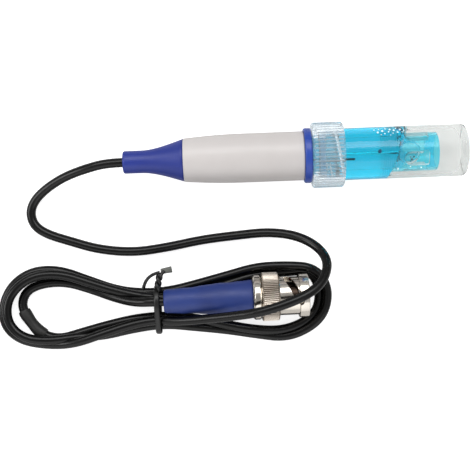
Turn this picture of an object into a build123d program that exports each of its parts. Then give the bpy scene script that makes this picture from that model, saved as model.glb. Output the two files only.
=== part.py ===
from build123d import *
import math
import os

os.makedirs("parts", exist_ok=True)

# A pH electrode with its storage bottle, coax cable and bayonet plug, in millimetres.
# The electrode lies along X with its sensing end at +X, and the bottle cap rests on z = 0.
# The origin is below the middle of the electrode, boot and bottle included.

# Clearances
seat_gap = 0.05  # glued or pressed seats
slide_gap = 0.2  # pieces that slide or turn on each other
face_gap = 0.15  # end faces that part when a joint moves

# Coax cable
cable_d = 2.8
cable_core_d = 1.5
cable_wire_d = 0.6
cable_strip = 7.7  # from the jacket's end to the potting
cable_bare = 1.7  # wire in front of the core

# Strain relief boot
boot_length = 17.9
boot_tail_length = 5.6
boot_tail_d = 6.7
boot_inset = 0.1  # below the handle's surface where they meet
boot_spigot_length = 5.0
spigot_step = 0.5  # shoulder between the spigot's bore and the handle's cavity
boot_edge = 0.5

# Handle
head_length = 35.5
head_wall = 1.55  # round the tube
head_taper = 18.0
head_tail_drop = 0.85
cavity_step = 0.55  # shoulder that the tube's end rests on
head_edge = 0.35

# Stop collar between handle and bottle
collar_width = 2.2
collar_wall = 2.4
collar_edge = 0.4

# Electrode tube with its guard cage
tube_d = 11.3
tube_wall = 1.0
tube_seat = 15.0
tube_reach = 37.0  # from the collar to the guard's end
guard_ring = 2.9
guard_windows = 4
window_length = 7.0
window_width = 4.3
window_turn = 27.0  # first window, from the top towards -Y
tube_edge = 0.4

# Glass stem with the sensing bulb
stem_room = 2.05  # between stem and tube
stem_wall = 0.7
bulb_bulge = 1.0  # bulb proud of the stem
bulb_wall = 0.45
bulb_recess = 4.8  # bulb tip behind the guard's end

# Inside the tube
potting_length = 5.0
potting_nose = 3.0
silver_wire_d = 0.5
reference_wire_d = 0.5
reference_offset_y = -1.5
reference_tip = 12.4  # beyond the collar
seal_length = 4.8
seal_rings = 5
seal_ring_depth = 0.35
junction_d = 1.0
junction_setback = 1.0  # behind the seal

# Storage bottle
cap_length = 9.2
cap_wall = 1.6
cap_ribs = 48
cap_rib_depth = 0.55
cap_edge = 0.5
cap_roof = 1.8
thread_room = 0.9  # between the vial's neck and the cap
ring_width = 1.6
ring_room = 0.75  # between the seal ring and the cap
chamber_length = 6.2  # from the guard's end to the vial's floor
liquid_room = 0.9  # between tube and vial
vial_wall = 1.1
vial_floor = 2.2
vial_edge = 1.2
vial_bore_edge = 1.6
neck_step = 0.5
liquid_gap = 0.05
liquid_top = 21.6  # free liquid edge behind the vial's end
liquid_slant = 4.0

# Bayonet plug, measured along its own axis from the middle of the knurl
plug_x = -8.5
plug_y = -41.4
plug_yaw = 0.4
plug_dip = 2.0
knurl_d = 14.5
knurl_width = 5.1
knurl_teeth = 60
knurl_depth = 0.3
knurl_edge = 0.35
nut_sleeve_d = 11.4
nut_bore_d = 9.8
nut_length = 13.9
nut_rim_d = 13.2
nut_rim_width = 2.8
nut_flange = 1.4
slot_width = 2.3
slot_turn = 100.0
slot_lead = 16.3
slot_steps = 12
slot_tail = 2.6  # slot end in front of the knurl
slot_phase = 12.0  # slot mouth, from the top towards -Y
entry_depth = 0.45
back_nut_d = 13.4
back_nut_width = 2.4
body_journal_d = 8.8
body_shoulder_d = 9.5
body_shoulder_width = 0.8
contact_d = 8.1
contact_wall = 0.55
contact_end = 8.4
contact_slits = 4
contact_slit_length = 4.0
contact_slit_width = 0.5
barrel_d = 5.2
barrel_length = 4.0
barrel_bore_d = 2.0
ferrule_wall = 0.6
ferrule_length = 7.5
gasket_width = 0.7
gasket_d = 9.4
insulator_front = 4.0
insulator_back = 3.0
insulator_snout = 1.6
pin_d = 1.35
pin_reach = 3.4
pin_barrel_d = 2.0
washer_width = 0.4
nut_travel = 1.0  # the coupling nut can be pulled forward by this much
spring_solid = 0.45
spring_strip = 0.16
spring_waves = 3
spring_split = 12.0
sleeve_length = 26.5
sleeve_tail_d = 6.8
sleeve_mouth_d = 10.6
sleeve_edge = 0.5

# Things on the hank
tie_x = -42.2
tie_width = 1.5
tie_thickness = 0.45
shrink_d = 3.5
hank_layers = 2
hank_waist_x = -40.6  # two layers on this side of the waist, one beyond it

# Cord from the boot to the hank: over the bench, round behind and across the plug
cord_bends = [
    (-61.8, -1.3, 8.4),
    (-68.2, -3.7, 6.0),
    (-73.4, -5.8, 3.7),
    (-78.6, -8.8, 1.9),
    (-80.2, -13.8, 1.4),
    (-78.0, -18.5, 1.4),
    (-70.0, -21.9, 1.4),
    (-60.0, -25.5, 1.4),
    (-49.2, -26.8, 1.4),
    (-38.8, -25.6, 1.4),
    (-28.3, -23.7, 1.4),
    (-18.0, -22.8, 1.4),
    (-8.2, -22.1, 2.4),
    (0.4, -23.5, 4.6),
    (6.6, -27.2, 8.0),
    (9.0, -31.9, 12.0),
    (6.5, -37.5, 16.3),
    (1.2, -40.9, 19.3),
    (-5.5, -43.3, 20.0),
    (-12.5, -45.2, 18.7),
    (-20.0, -46.2, 15.2),
    (-27.7, -47.0, 11.6),
    (-34.4, -47.6, 8.3),
    (-39.3, -47.6, 6.4),
    (-43.4, -47.3, 5.4),
]

# Cord from the hank up to the plug's sleeve, before its last point at the sleeve
cord_end_bends = [
    (-60.5, -38.6, 4.3),
    (-54.5, -40.7, 5.0),
    (-48.5, -41.6, 7.4),
]

# Outline of the hank: its outermost turn, and the inner turn round each eye
hank_rim = [
    (-41.3, -48.9),
    (-50.7, -50.0),
    (-59.3, -51.8),
    (-67.8, -53.7),
    (-76.4, -54.2),
    (-84.9, -52.2),
    (-89.6, -47.4),
    (-89.6, -40.7),
    (-86.1, -34.7),
    (-79.8, -31.2),
    (-71.9, -31.3),
    (-63.5, -34.7),
    (-54.5, -38.2),
    (-46.0, -39.3),
    (-38.0, -38.8),
    (-29.5, -36.9),
    (-20.8, -34.8),
    (-12.3, -32.6),
    (-3.8, -32.5),
    (3.3, -35.1),
    (8.5, -40.1),
    (9.2, -46.3),
    (4.1, -51.6),
    (-3.9, -54.5),
    (-13.0, -53.0),
    (-22.1, -51.3),
    (-31.2, -49.9),
]
left_eye_turn = [
    (-44.0, -44.6),
    (-50.0, -47.0),
    (-58.5, -48.7),
    (-66.5, -50.7),
    (-72.7, -52.3),
    (-78.1, -50.6),
    (-81.6, -46.2),
    (-84.0, -41.8),
    (-82.5, -37.3),
    (-77.5, -35.2),
    (-70.2, -35.0),
    (-62.4, -37.6),
    (-55.6, -40.2),
    (-49.2, -41.7),
]
right_eye_turn = [
    (-40.4, -44.4),
    (-36.0, -41.4),
    (-29.5, -39.3),
    (-20.9, -37.0),
    (-12.3, -33.8),
    (-4.3, -33.1),
    (4.2, -33.9),
    (7.4, -39.4),
    (7.0, -46.6),
    (2.4, -50.4),
    (-5.4, -52.2),
    (-13.6, -51.4),
    (-22.0, -49.6),
    (-31.1, -47.8),
]
shrink_from = (-83.0, -43.6)
shrink_to = (-76.6, -51.0)

# Loop of the tie round the stacked strands, in (y, z), and its twisted ends
tie_loop = [
    (-51.2, 0.45),
    (-51.2, 5.0),
    (-48.2, 7.6),
    (-43.4, 10.4),
    (-40.4, 10.3),
    (-36.9, 6.0),
    (-36.9, 0.45),
]
tie_tail = [(-42.2, -36.9, 5.4), (-41.2, -34.6, 6.8), (-38.0, -31.9, 7.2)]
tie_tail_d = 1.5
tie_bend = 0.8


def tangent_radii(points, closed=False):
    """Largest smooth bend at each corner: 0.45 of the shorter run over tan(half the turn)."""
    corners = [Vector(*point) for point in points]
    count = len(corners)
    radii = []
    for here in range(0 if closed else 1, count if closed else count - 1):
        run_in = corners[here] - corners[here - 1]
        run_out = corners[(here + 1) % count] - corners[here]
        half_turn = math.radians(run_in.get_angle(run_out)) / 2
        radii.append(0.45 * min(run_in.length, run_out.length) / math.tan(half_turn))
    return radii


def moved_outline(points, distance):
    """Corners of a closed clockwise outline whose sides all lie further out by distance."""
    corners = [Vector(*point) for point in points]
    moved = []
    for here in range(len(corners)):
        run_in = (corners[here] - corners[here - 1]).normalized()
        run_out = (corners[(here + 1) % len(corners)] - corners[here]).normalized()
        out_before = Vector(-run_in.Y, run_in.X)
        out_after = Vector(-run_out.Y, run_out.X)
        mitre = distance / (1 + out_before.dot(out_after))
        moved.append(corners[here] + (out_before + out_after) * mitre)
    return moved


# Diameters that follow from the tube's, outwards and inwards
vial_bore_d = tube_d + 2 * liquid_room
vial_d = vial_bore_d + 2 * vial_wall
neck_d = vial_d - 2 * neck_step
cap_bore_d = neck_d + 2 * thread_room
cap_d = cap_bore_d + 2 * cap_wall
ring_d = cap_bore_d - 2 * ring_room
collar_d = tube_d + 2 * (seat_gap + collar_wall)
head_d = tube_d + 2 * (seat_gap + head_wall)
head_tail_d = head_d - 2 * head_tail_drop
head_cavity_d = tube_d - 2 * cavity_step
boot_mouth_d = head_tail_d - 2 * boot_inset
boot_spigot_d = head_cavity_d - 2 * spigot_step
stem_d = tube_d - 2 * (tube_wall + stem_room)
bulb_d = stem_d + 2 * bulb_bulge

# Places along the electrode
total_length = boot_length + head_length + collar_width + tube_reach + chamber_length + vial_floor
x_tail = -total_length / 2
x_seam = x_tail + boot_length
x_head_front = x_seam + head_length
x_stop = x_head_front + collar_width
x_cap_back = x_stop + face_gap
x_cap_front = x_cap_back + cap_length
x_tube_back = x_head_front - tube_seat
x_tube_end = x_stop + tube_reach
x_vial_end = x_tube_end + chamber_length + vial_floor
x_bulb = x_tube_end - bulb_recess - bulb_d / 2
x_seal_front = x_bulb - bulb_d / 2 + 0.5 * stem_wall
x_seal_back = x_seal_front - seal_length
x_ring_back = x_cap_back + cap_roof + seat_gap
x_rim = x_ring_back + ring_width + seat_gap
pen_z = cap_d / 2

cable_r = cable_d / 2
tube_r = tube_d / 2
tube_bore_r = tube_r - tube_wall
stem_r = stem_d / 2
bulb_r = bulb_d / 2
reference_offset_z = math.sqrt(((stem_r + tube_bore_r) / 2 + 0.1) ** 2 - reference_offset_y**2)

pen_axis = Axis((0, 0, pen_z), (1, 0, 0))
pen_section = Plane(origin=(0, 0, pen_z), x_dir=(1, 0, 0), z_dir=(0, -1, 0))


def pen_station(x):
    """Plane across the electrode at x, seen from its sensing end."""
    return Plane(origin=(x, 0, pen_z), x_dir=(0, 1, 0), z_dir=(1, 0, 0))


# Strain relief boot: straight tail, flared body and a spigot in the handle
with BuildPart() as strain_relief_boot:
    with BuildSketch(pen_section):
        bore = cable_r + seat_gap
        x_flare = x_tail + boot_tail_length
        with BuildLine():
            Polyline((x_tail, bore), (x_tail, boot_tail_d / 2), (x_flare, boot_tail_d / 2))
            Spline(
                (x_flare, boot_tail_d / 2),
                (x_flare + boot_tail_length / 2, boot_tail_d / 2 + 0.75),
                (x_seam, boot_mouth_d / 2),
                tangents=[(1, 0), (1, 0.19)],
            )
            Polyline(
                (x_seam, boot_mouth_d / 2),
                (x_seam, boot_spigot_d / 2),
                (x_seam + boot_spigot_length, boot_spigot_d / 2),
                (x_seam + boot_spigot_length, bore),
                (x_tail, bore),
            )
        make_face()
    revolve(axis=pen_axis)
    tail_edges = strain_relief_boot.edges().filter_by(GeomType.CIRCLE).group_by(Axis.X)[0]
    fillet(tail_edges.sort_by(SortBy.RADIUS)[-1:], radius=boot_edge)
strain_relief_boot.part.label = "strain_relief_boot"
export_step(strain_relief_boot.part, "parts/strain_relief_boot.step")

# Handle: a moulded shell, tapered to the boot, bored for the boot's spigot and for the tube
x_spigot_end = x_seam + boot_spigot_length + seat_gap
with BuildPart() as head_shell:
    with BuildSketch(pen_section):
        x_taper = x_seam + head_taper
        with BuildLine():
            TangentArc((x_taper, head_d / 2), (x_seam, head_tail_d / 2), tangent=(-1, 0))
            Polyline(
                (x_taper, head_d / 2),
                (x_head_front, head_d / 2),
                (x_head_front, tube_r + seat_gap),
                (x_tube_back, tube_r + seat_gap),
                (x_tube_back, head_cavity_d / 2),
                (x_spigot_end, head_cavity_d / 2),
                (x_spigot_end, boot_spigot_d / 2 + seat_gap),
                (x_seam, boot_spigot_d / 2 + seat_gap),
                (x_seam, head_tail_d / 2),
            )
        make_face()
    revolve(axis=pen_axis)
    rims = head_shell.edges().filter_by(GeomType.CIRCLE)
    chamfer(rims.group_by(Axis.X)[0].sort_by(SortBy.RADIUS)[-1:], length=head_edge)
    chamfer(rims.group_by(Axis.X)[-1].sort_by(SortBy.RADIUS)[-1:], length=head_edge)
head_shell.part.label = "head_shell"
export_step(head_shell.part, "parts/head_shell.step")

# Stop collar: the ring on the tube that the bottle cap meets
with BuildPart() as stop_collar:
    with BuildSketch(pen_station(x_head_front)):
        Circle(collar_d / 2)
        Circle(tube_r + seat_gap, mode=Mode.SUBTRACT)
    extrude(amount=collar_width)
    fillet(stop_collar.edges().filter_by(GeomType.CIRCLE).sort_by(SortBy.RADIUS)[-2:], radius=collar_edge)
stop_collar.part.label = "stop_collar"
export_step(stop_collar.part, "parts/stop_collar.step")

# Electrode tube: open at the front, where four arched windows leave a guard cage
x_window_base = x_tube_end - guard_ring
x_window_arch = x_window_base - window_length + window_width / 2
x_junction = x_seal_back - junction_setback
with BuildPart() as electrode_tube:
    with BuildSketch(pen_station(x_tube_back)):
        Circle(tube_r)
        Circle(tube_bore_r, mode=Mode.SUBTRACT)
    extrude(amount=x_tube_end - x_tube_back)
    front_rim = electrode_tube.edges().filter_by(GeomType.CIRCLE).group_by(Axis.X)[-1]
    fillet(front_rim.sort_by(SortBy.RADIUS)[-1:], radius=tube_edge)
    for window in range(guard_windows):
        turn = math.radians(window_turn + 360 / guard_windows * window)
        outward = (0, -math.sin(turn), math.cos(turn))
        with BuildSketch(Plane(origin=(x_window_arch, 0, pen_z), x_dir=(1, 0, 0), z_dir=outward)):
            Circle(window_width / 2)
            Rectangle(x_window_base - x_window_arch, window_width, align=(Align.MIN, Align.CENTER))
        extrude(amount=tube_d, mode=Mode.SUBTRACT)
    with BuildSketch(Plane((x_junction, 0, pen_z))):
        Circle(junction_d / 2)
    extrude(amount=tube_d, mode=Mode.SUBTRACT)
electrode_tube.part.label = "electrode_tube"
export_step(electrode_tube.part, "parts/electrode_tube.step")

# Porous junction: a plug in the tube's wall, flush with both faces
with BuildPart() as junction_frit:
    with BuildSketch(Plane((x_junction, 0, pen_z))):
        Circle(junction_d / 2)
    extrude(amount=tube_d)
    with BuildSketch(pen_station(x_junction - junction_d)):
        Circle(tube_r)
        Circle(tube_bore_r, mode=Mode.SUBTRACT)
    extrude(amount=2 * junction_d, mode=Mode.INTERSECT)
junction_frit.part.label = "junction_frit"
export_step(junction_frit.part, "parts/junction_frit.step")

# Glass stem and sensing bulb, blown as one piece and open at the back
x_stem_back = x_tube_back + potting_nose
with BuildPart() as glass_stem:
    with BuildSketch(pen_section):
        with Locations((x_bulb, 0)):
            Circle(bulb_r)
        with Locations((x_stem_back, 0)):
            Rectangle(x_bulb - x_stem_back, stem_d, align=(Align.MIN, Align.CENTER))
        with Locations((x_bulb, 0)):
            Circle(bulb_r - bulb_wall, mode=Mode.SUBTRACT)
        with Locations((x_stem_back, 0)):
            Rectangle(
                x_bulb - x_stem_back,
                stem_d - 2 * stem_wall,
                align=(Align.MIN, Align.CENTER),
                mode=Mode.SUBTRACT,
            )
        with Locations((x_stem_back - bulb_d, 0)):
            Rectangle(
                x_tube_end - x_stem_back + 2 * bulb_d,
                bulb_d,
                align=(Align.MIN, Align.MIN),
                mode=Mode.INTERSECT,
            )
    revolve(axis=pen_axis)
glass_stem.part.label = "glass_stem"
export_step(glass_stem.part, "parts/glass_stem.step")

# Potting: resin behind the tube with a nose in it, pierced for the two wires
x_potting_back = x_tube_back - potting_length
with BuildPart() as potting_plug:
    with BuildSketch(pen_section):
        with BuildLine():
            Polyline(
                (x_potting_back, 0),
                (x_potting_back, head_cavity_d / 2 - seat_gap),
                (x_tube_back, head_cavity_d / 2 - seat_gap),
                (x_tube_back, tube_bore_r - seat_gap),
                (x_stem_back, tube_bore_r - seat_gap),
                (x_stem_back, 0),
                close=True,
            )
        make_face()
    revolve(axis=pen_axis)
    with BuildSketch(pen_station(x_potting_back)):
        Circle(silver_wire_d / 2 + seat_gap)
        with Locations((reference_offset_y, reference_offset_z)):
            Circle(reference_wire_d / 2 + seat_gap)
    extrude(amount=potting_length + potting_nose, mode=Mode.SUBTRACT)
potting_plug.part.label = "potting_plug"
export_step(potting_plug.part, "parts/potting_plug.step")

# Inner reference element: a silver wire down the middle of the stem
with BuildPart() as silver_wire:
    with BuildSketch(pen_station(x_potting_back)):
        Circle(silver_wire_d / 2)
    extrude(amount=x_bulb - x_potting_back)
    fillet(silver_wire.edges().group_by(Axis.X)[-1], radius=0.4 * silver_wire_d)
silver_wire.part.label = "silver_wire"
export_step(silver_wire.part, "parts/silver_wire.step")

# Outer reference element: a wire in the space between stem and tube
with BuildPart() as reference_wire:
    with BuildSketch(pen_station(x_potting_back)):
        with Locations((reference_offset_y, reference_offset_z)):
            Circle(reference_wire_d / 2)
    extrude(amount=x_stop + reference_tip - x_potting_back)
reference_wire.part.label = "reference_wire"
export_step(reference_wire.part, "parts/reference_wire.step")

# Seal behind the bulb, ringed like a gasket
ring_pitch = seal_length / seal_rings
with BuildPart() as bulb_seal:
    with BuildSketch(pen_station(x_seal_back)):
        Circle(tube_bore_r - seat_gap)
        Circle(stem_r + seat_gap, mode=Mode.SUBTRACT)
    extrude(amount=seal_length)
    for ring in range(1, seal_rings):
        with BuildSketch(pen_station(x_seal_back + ring * ring_pitch - ring_pitch / 4)):
            Circle(tube_bore_r)
            Circle(tube_bore_r - seat_gap - seal_ring_depth, mode=Mode.SUBTRACT)
        extrude(amount=ring_pitch / 2, mode=Mode.SUBTRACT)
bulb_seal.part.label = "bulb_seal"
export_step(bulb_seal.part, "parts/bulb_seal.step")

# Stripped end of the cable inside boot and handle: jacket, core and wire
x_jacket_end = x_potting_back - cable_strip
x_core_end = x_potting_back - cable_bare
with BuildPart() as cable_end:
    with BuildSketch(pen_section):
        with BuildLine():
            Polyline(
                (x_tail, 0),
                (x_tail, cable_r),
                (x_jacket_end, cable_r),
                (x_jacket_end, cable_core_d / 2),
                (x_core_end, cable_core_d / 2),
                (x_core_end, cable_wire_d / 2),
                (x_potting_back, cable_wire_d / 2),
                (x_potting_back, 0),
                close=True,
            )
        make_face()
    revolve(axis=pen_axis)
cable_end.part.label = "cable_end"
export_step(cable_end.part, "parts/cable_end.step")

# Bottle cap: ribbed outside, bored for the vial's neck, with a hole for the tube in its roof
with BuildPart() as bottle_cap:
    with BuildSketch(pen_station(x_cap_back)):
        Circle(cap_d / 2)
        with PolarLocations(cap_d / 2, cap_ribs, start_angle=180 / cap_ribs):
            Circle(cap_rib_depth, mode=Mode.SUBTRACT)
    extrude(amount=cap_length)
    with BuildSketch(pen_section):
        with BuildLine():
            Polyline(
                (x_cap_back, 0),
                (x_cap_back, cap_d / 2 - cap_edge),
                (x_cap_back + cap_edge, cap_d / 2),
                (x_cap_front - cap_edge, cap_d / 2),
                (x_cap_front, cap_d / 2 - cap_edge),
                (x_cap_front, 0),
                close=True,
            )
        make_face()
    revolve(axis=pen_axis, mode=Mode.INTERSECT)
    with BuildSketch(pen_station(x_cap_back)):
        Circle(tube_r + slide_gap)
    extrude(amount=cap_length, mode=Mode.SUBTRACT)
    with BuildSketch(pen_station(x_cap_back + cap_roof)):
        Circle(cap_bore_d / 2)
    extrude(amount=cap_length, mode=Mode.SUBTRACT)
bottle_cap.part.label = "bottle_cap"
export_step(bottle_cap.part, "parts/bottle_cap.step")

# Seal ring between the cap's roof and the vial's rim
with BuildPart() as seal_ring:
    with BuildSketch(pen_station(x_ring_back)):
        Circle(ring_d / 2)
        Circle(tube_r + slide_gap, mode=Mode.SUBTRACT)
    extrude(amount=ring_width)
    fillet(seal_ring.edges().filter_by(GeomType.CIRCLE).sort_by(SortBy.RADIUS)[-2:], radius=ring_width / 4)
seal_ring.part.label = "seal_ring"
export_step(seal_ring.part, "parts/seal_ring.step")

# Storage vial: body, necked mouth that takes the thread, thick floor
x_neck_end = x_cap_front + face_gap
with BuildPart() as storage_vial:
    with BuildSketch(pen_section):
        with BuildLine():
            Polyline(
                (x_rim, vial_bore_d / 2),
                (x_rim, neck_d / 2),
                (x_neck_end, neck_d / 2),
                (x_neck_end, vial_d / 2),
                (x_vial_end, vial_d / 2),
                (x_vial_end, 0),
                (x_vial_end - vial_floor, 0),
                (x_vial_end - vial_floor, vial_bore_d / 2),
                close=True,
            )
        make_face()
    revolve(axis=pen_axis)
    ends = storage_vial.edges().filter_by(GeomType.CIRCLE).group_by(Axis.X)
    fillet(ends[-1].sort_by(SortBy.RADIUS)[-1:], radius=vial_edge)
    ends = storage_vial.edges().filter_by(GeomType.CIRCLE).group_by(Axis.X)
    floor_rims = [ring for group in ends for ring in group if abs(ring.radius - vial_bore_d / 2) < 0.001]
    fillet(floor_rims[-1], radius=vial_bore_edge)
storage_vial.part.label = "storage_vial"
export_step(storage_vial.part, "parts/storage_vial.step")

# Storage solution held round the tube, with a slanted free edge
x_liquid = x_vial_end - liquid_top
with BuildPart() as storage_solution:
    with BuildSketch(pen_section):
        with BuildLine():
            Polyline(
                (x_rim + seat_gap, -vial_bore_d / 2 + liquid_gap),
                (x_rim + seat_gap, vial_bore_d / 2 - liquid_gap),
                (x_liquid + liquid_slant, vial_bore_d / 2 - liquid_gap),
                (x_liquid, -vial_bore_d / 2 + liquid_gap),
                close=True,
            )
        make_face()
    extrude(amount=vial_d, both=True)
    with BuildSketch(pen_station(x_rim)):
        Circle(vial_bore_d / 2 - liquid_gap)
        Circle(tube_r + slide_gap / 2, mode=Mode.SUBTRACT)
    extrude(amount=x_vial_end - x_rim, mode=Mode.INTERSECT)
storage_solution.part.label = "storage_solution"
export_step(storage_solution.part, "parts/storage_solution.step")

# The plug's own frame: its axis dips forward until the knurl rests on the bench
dip = math.radians(plug_dip)
yaw = math.radians(plug_yaw)
plug_forward = Vector(math.cos(dip) * math.cos(yaw), math.cos(dip) * math.sin(yaw), -math.sin(dip))
plug_side = Vector(math.sin(yaw), -math.cos(yaw), 0)
plug_z = knurl_d / 2 * math.cos(dip) + knurl_width / 2 * math.sin(dip)
plug_centre = Vector(plug_x, plug_y, plug_z)
plug_axis = Axis(plug_centre, plug_forward)
plug_section = Plane(origin=plug_centre, x_dir=plug_forward, z_dir=plug_side)


def plug_station(s):
    """Plane across the plug at s along its axis; its x axis points up."""
    return Plane(origin=plug_centre + plug_forward * s, x_dir=plug_section.y_dir, z_dir=plug_forward)


# Places along the plug
s_knurl_back = -knurl_width / 2
s_knurl_front = knurl_width / 2
s_nut_front = s_knurl_back + nut_length
s_flange_front = s_knurl_back + nut_flange
s_back_nut = s_knurl_back - slide_gap - back_nut_width
s_washer_front = s_flange_front + 2 * seat_gap + washer_width
spring_height = nut_travel + spring_solid
s_shoulder = s_washer_front + spring_height + 2 * seat_gap
s_shoulder_front = s_shoulder + body_shoulder_width
s_gasket_front = s_shoulder_front + gasket_width
s_barrel_back = s_back_nut - barrel_length
s_sleeve_back = s_back_nut - sleeve_length

# Coupling nut: knurl, sleeve and rim, with two bayonet slots that wind back from their
# entry grooves, each milled in steps round the sleeve
s_slot_tail = s_knurl_front + slot_tail
slot_rise = slot_lead * slot_turn / 360
up = plug_section.y_dir
slot_cuts = []
for side in (0, 180):
    for step in range(slot_steps + 1):
        share = step / slot_steps
        radial = up.rotate(Axis((0, 0, 0), plug_forward), slot_phase + side - slot_turn * (1 - share))
        slot_cuts.append(
            Plane(
                origin=plug_centre + plug_forward * (s_slot_tail + slot_rise * share),
                x_dir=plug_forward,
                z_dir=radial,
            )
        )
with BuildPart() as coupling_nut:
    with BuildSketch(plug_station(s_knurl_back)):
        Circle(knurl_d / 2)
        with PolarLocations(knurl_d / 2, knurl_teeth, start_angle=180 / knurl_teeth):
            RegularPolygon(knurl_depth, 3, rotation=180, mode=Mode.SUBTRACT)
    extrude(amount=knurl_width)
    with BuildSketch(plug_section):
        with BuildLine():
            Polyline(
                (s_knurl_back, 0),
                (s_knurl_back, knurl_d / 2 - knurl_edge),
                (s_knurl_back + knurl_edge, knurl_d / 2),
                (s_knurl_front - knurl_edge, knurl_d / 2),
                (s_knurl_front, knurl_d / 2 - knurl_edge),
                (s_knurl_front, 0),
                close=True,
            )
        make_face()
    revolve(axis=plug_axis, mode=Mode.INTERSECT)
    with BuildSketch(plug_station(s_knurl_front)):
        Circle(nut_sleeve_d / 2)
    extrude(amount=s_nut_front - nut_rim_width - s_knurl_front)
    with BuildSketch(plug_station(s_nut_front - nut_rim_width)):
        Circle(nut_rim_d / 2)
    extrude(amount=nut_rim_width)
    front_rim = coupling_nut.edges().filter_by(GeomType.CIRCLE).group_by(Axis(plug_centre, plug_forward))[-1]
    chamfer(front_rim.sort_by(SortBy.RADIUS)[-1:], length=knurl_edge)
    with BuildSketch(plug_station(s_knurl_back)):
        Circle(body_journal_d / 2 + slide_gap)
    extrude(amount=nut_length, mode=Mode.SUBTRACT)
    with BuildSketch(plug_station(s_flange_front)):
        Circle(nut_bore_d / 2)
    extrude(amount=nut_length, mode=Mode.SUBTRACT)
    with BuildSketch(*slot_cuts):
        Circle(slot_width / 2)
    extrude(amount=nut_sleeve_d / 2 + 3 * seat_gap, mode=Mode.SUBTRACT)
    with BuildSketch(plug_station(s_slot_tail + slot_rise)):
        for side in (0, 180):
            with PolarLocations(nut_bore_d / 2, 1, start_angle=slot_phase + side):
                Rectangle(2 * entry_depth, slot_width)
    extrude(amount=nut_length, mode=Mode.SUBTRACT)
coupling_nut.part.label = "coupling_nut"
export_step(coupling_nut.part, "parts/coupling_nut.step")

# Back nut: the bright ring that closes the plug behind the coupling nut
with BuildPart() as plug_back_nut:
    with BuildSketch(plug_station(s_back_nut)):
        Circle(back_nut_d / 2)
        Circle(body_journal_d / 2 + seat_gap, mode=Mode.SUBTRACT)
    extrude(amount=back_nut_width)
    rims = plug_back_nut.edges().filter_by(GeomType.CIRCLE)
    chamfer(rims.sort_by(SortBy.RADIUS)[-2:], length=0.5)
plug_back_nut.part.label = "plug_back_nut"
export_step(plug_back_nut.part, "parts/plug_back_nut.step")

# Plug body: crimp barrel, journal, shoulder and the slit outer contact, turned as one piece
s_bore_step = -insulator_back
with BuildPart() as plug_body:
    with BuildSketch(plug_section):
        with BuildLine():
            Polyline(
                (s_barrel_back, barrel_bore_d / 2),
                (s_barrel_back, barrel_d / 2),
                (s_back_nut, barrel_d / 2),
                (s_back_nut, body_journal_d / 2),
                (s_shoulder, body_journal_d / 2),
                (s_shoulder, body_shoulder_d / 2),
                (s_shoulder_front, body_shoulder_d / 2),
                (s_shoulder_front, contact_d / 2),
                (contact_end - 0.3, contact_d / 2),
                (contact_end, contact_d / 2 - 0.25),
                (contact_end, contact_d / 2 - contact_wall),
                (s_bore_step, contact_d / 2 - contact_wall),
                (s_bore_step, barrel_bore_d / 2),
                close=True,
            )
        make_face()
    revolve(axis=plug_axis)
    with BuildSketch(plug_station(contact_end)):
        with PolarLocations(contact_d / 2, contact_slits, start_angle=45):
            Rectangle(contact_d / 2, contact_slit_width)
    extrude(amount=-contact_slit_length, mode=Mode.SUBTRACT)
plug_body.part.label = "plug_body"
export_step(plug_body.part, "parts/plug_body.step")

# Dielectric round the centre contact
insulator_r = contact_d / 2 - contact_wall - seat_gap
with BuildPart() as insulator:
    with BuildSketch(plug_section):
        with BuildLine():
            Polyline(
                (s_bore_step, pin_barrel_d / 2 + seat_gap),
                (s_bore_step, insulator_r),
                (insulator_front - insulator_snout, insulator_r),
                (insulator_front - insulator_snout, 0.7 * insulator_r),
                (insulator_front, 0.7 * insulator_r),
                (insulator_front, pin_barrel_d / 2 + seat_gap),
                close=True,
            )
        make_face()
    revolve(axis=plug_axis)
insulator.part.label = "insulator"
export_step(insulator.part, "parts/insulator.step")

# Centre contact: crimp barrel inside the dielectric, round-nosed pin in front
with BuildPart() as contact_pin:
    with BuildSketch(plug_section):
        nose = pin_d / 3
        s_pin_tip = insulator_front + pin_reach
        with BuildLine():
            Polyline(
                (s_bore_step, 0),
                (s_bore_step, pin_barrel_d / 2),
                (insulator_front, pin_barrel_d / 2),
                (insulator_front, pin_d / 2),
                (s_pin_tip - nose, pin_d / 2),
                (s_pin_tip, nose / 2),
                (s_pin_tip, 0),
                close=True,
            )
        make_face()
    revolve(axis=plug_axis)
contact_pin.part.label = "contact_pin"
export_step(contact_pin.part, "parts/contact_pin.step")

# Gasket at the root of the outer contact
with BuildPart() as plug_gasket:
    with BuildSketch(plug_station(s_shoulder_front)):
        Circle(gasket_d / 2)
        Circle(contact_d / 2 + seat_gap, mode=Mode.SUBTRACT)
    extrude(amount=gasket_width)
plug_gasket.part.label = "plug_gasket"
export_step(plug_gasket.part, "parts/plug_gasket.step")

# Thrust washer in front of the coupling nut's inner flange
with BuildPart() as thrust_washer:
    with BuildSketch(plug_station(s_flange_front + seat_gap)):
        Circle(nut_bore_d / 2 - slide_gap)
        Circle(body_journal_d / 2 + seat_gap, mode=Mode.SUBTRACT)
    extrude(amount=washer_width)
thrust_washer.part.label = "thrust_washer"
export_step(thrust_washer.part, "parts/thrust_washer.step")

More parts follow.
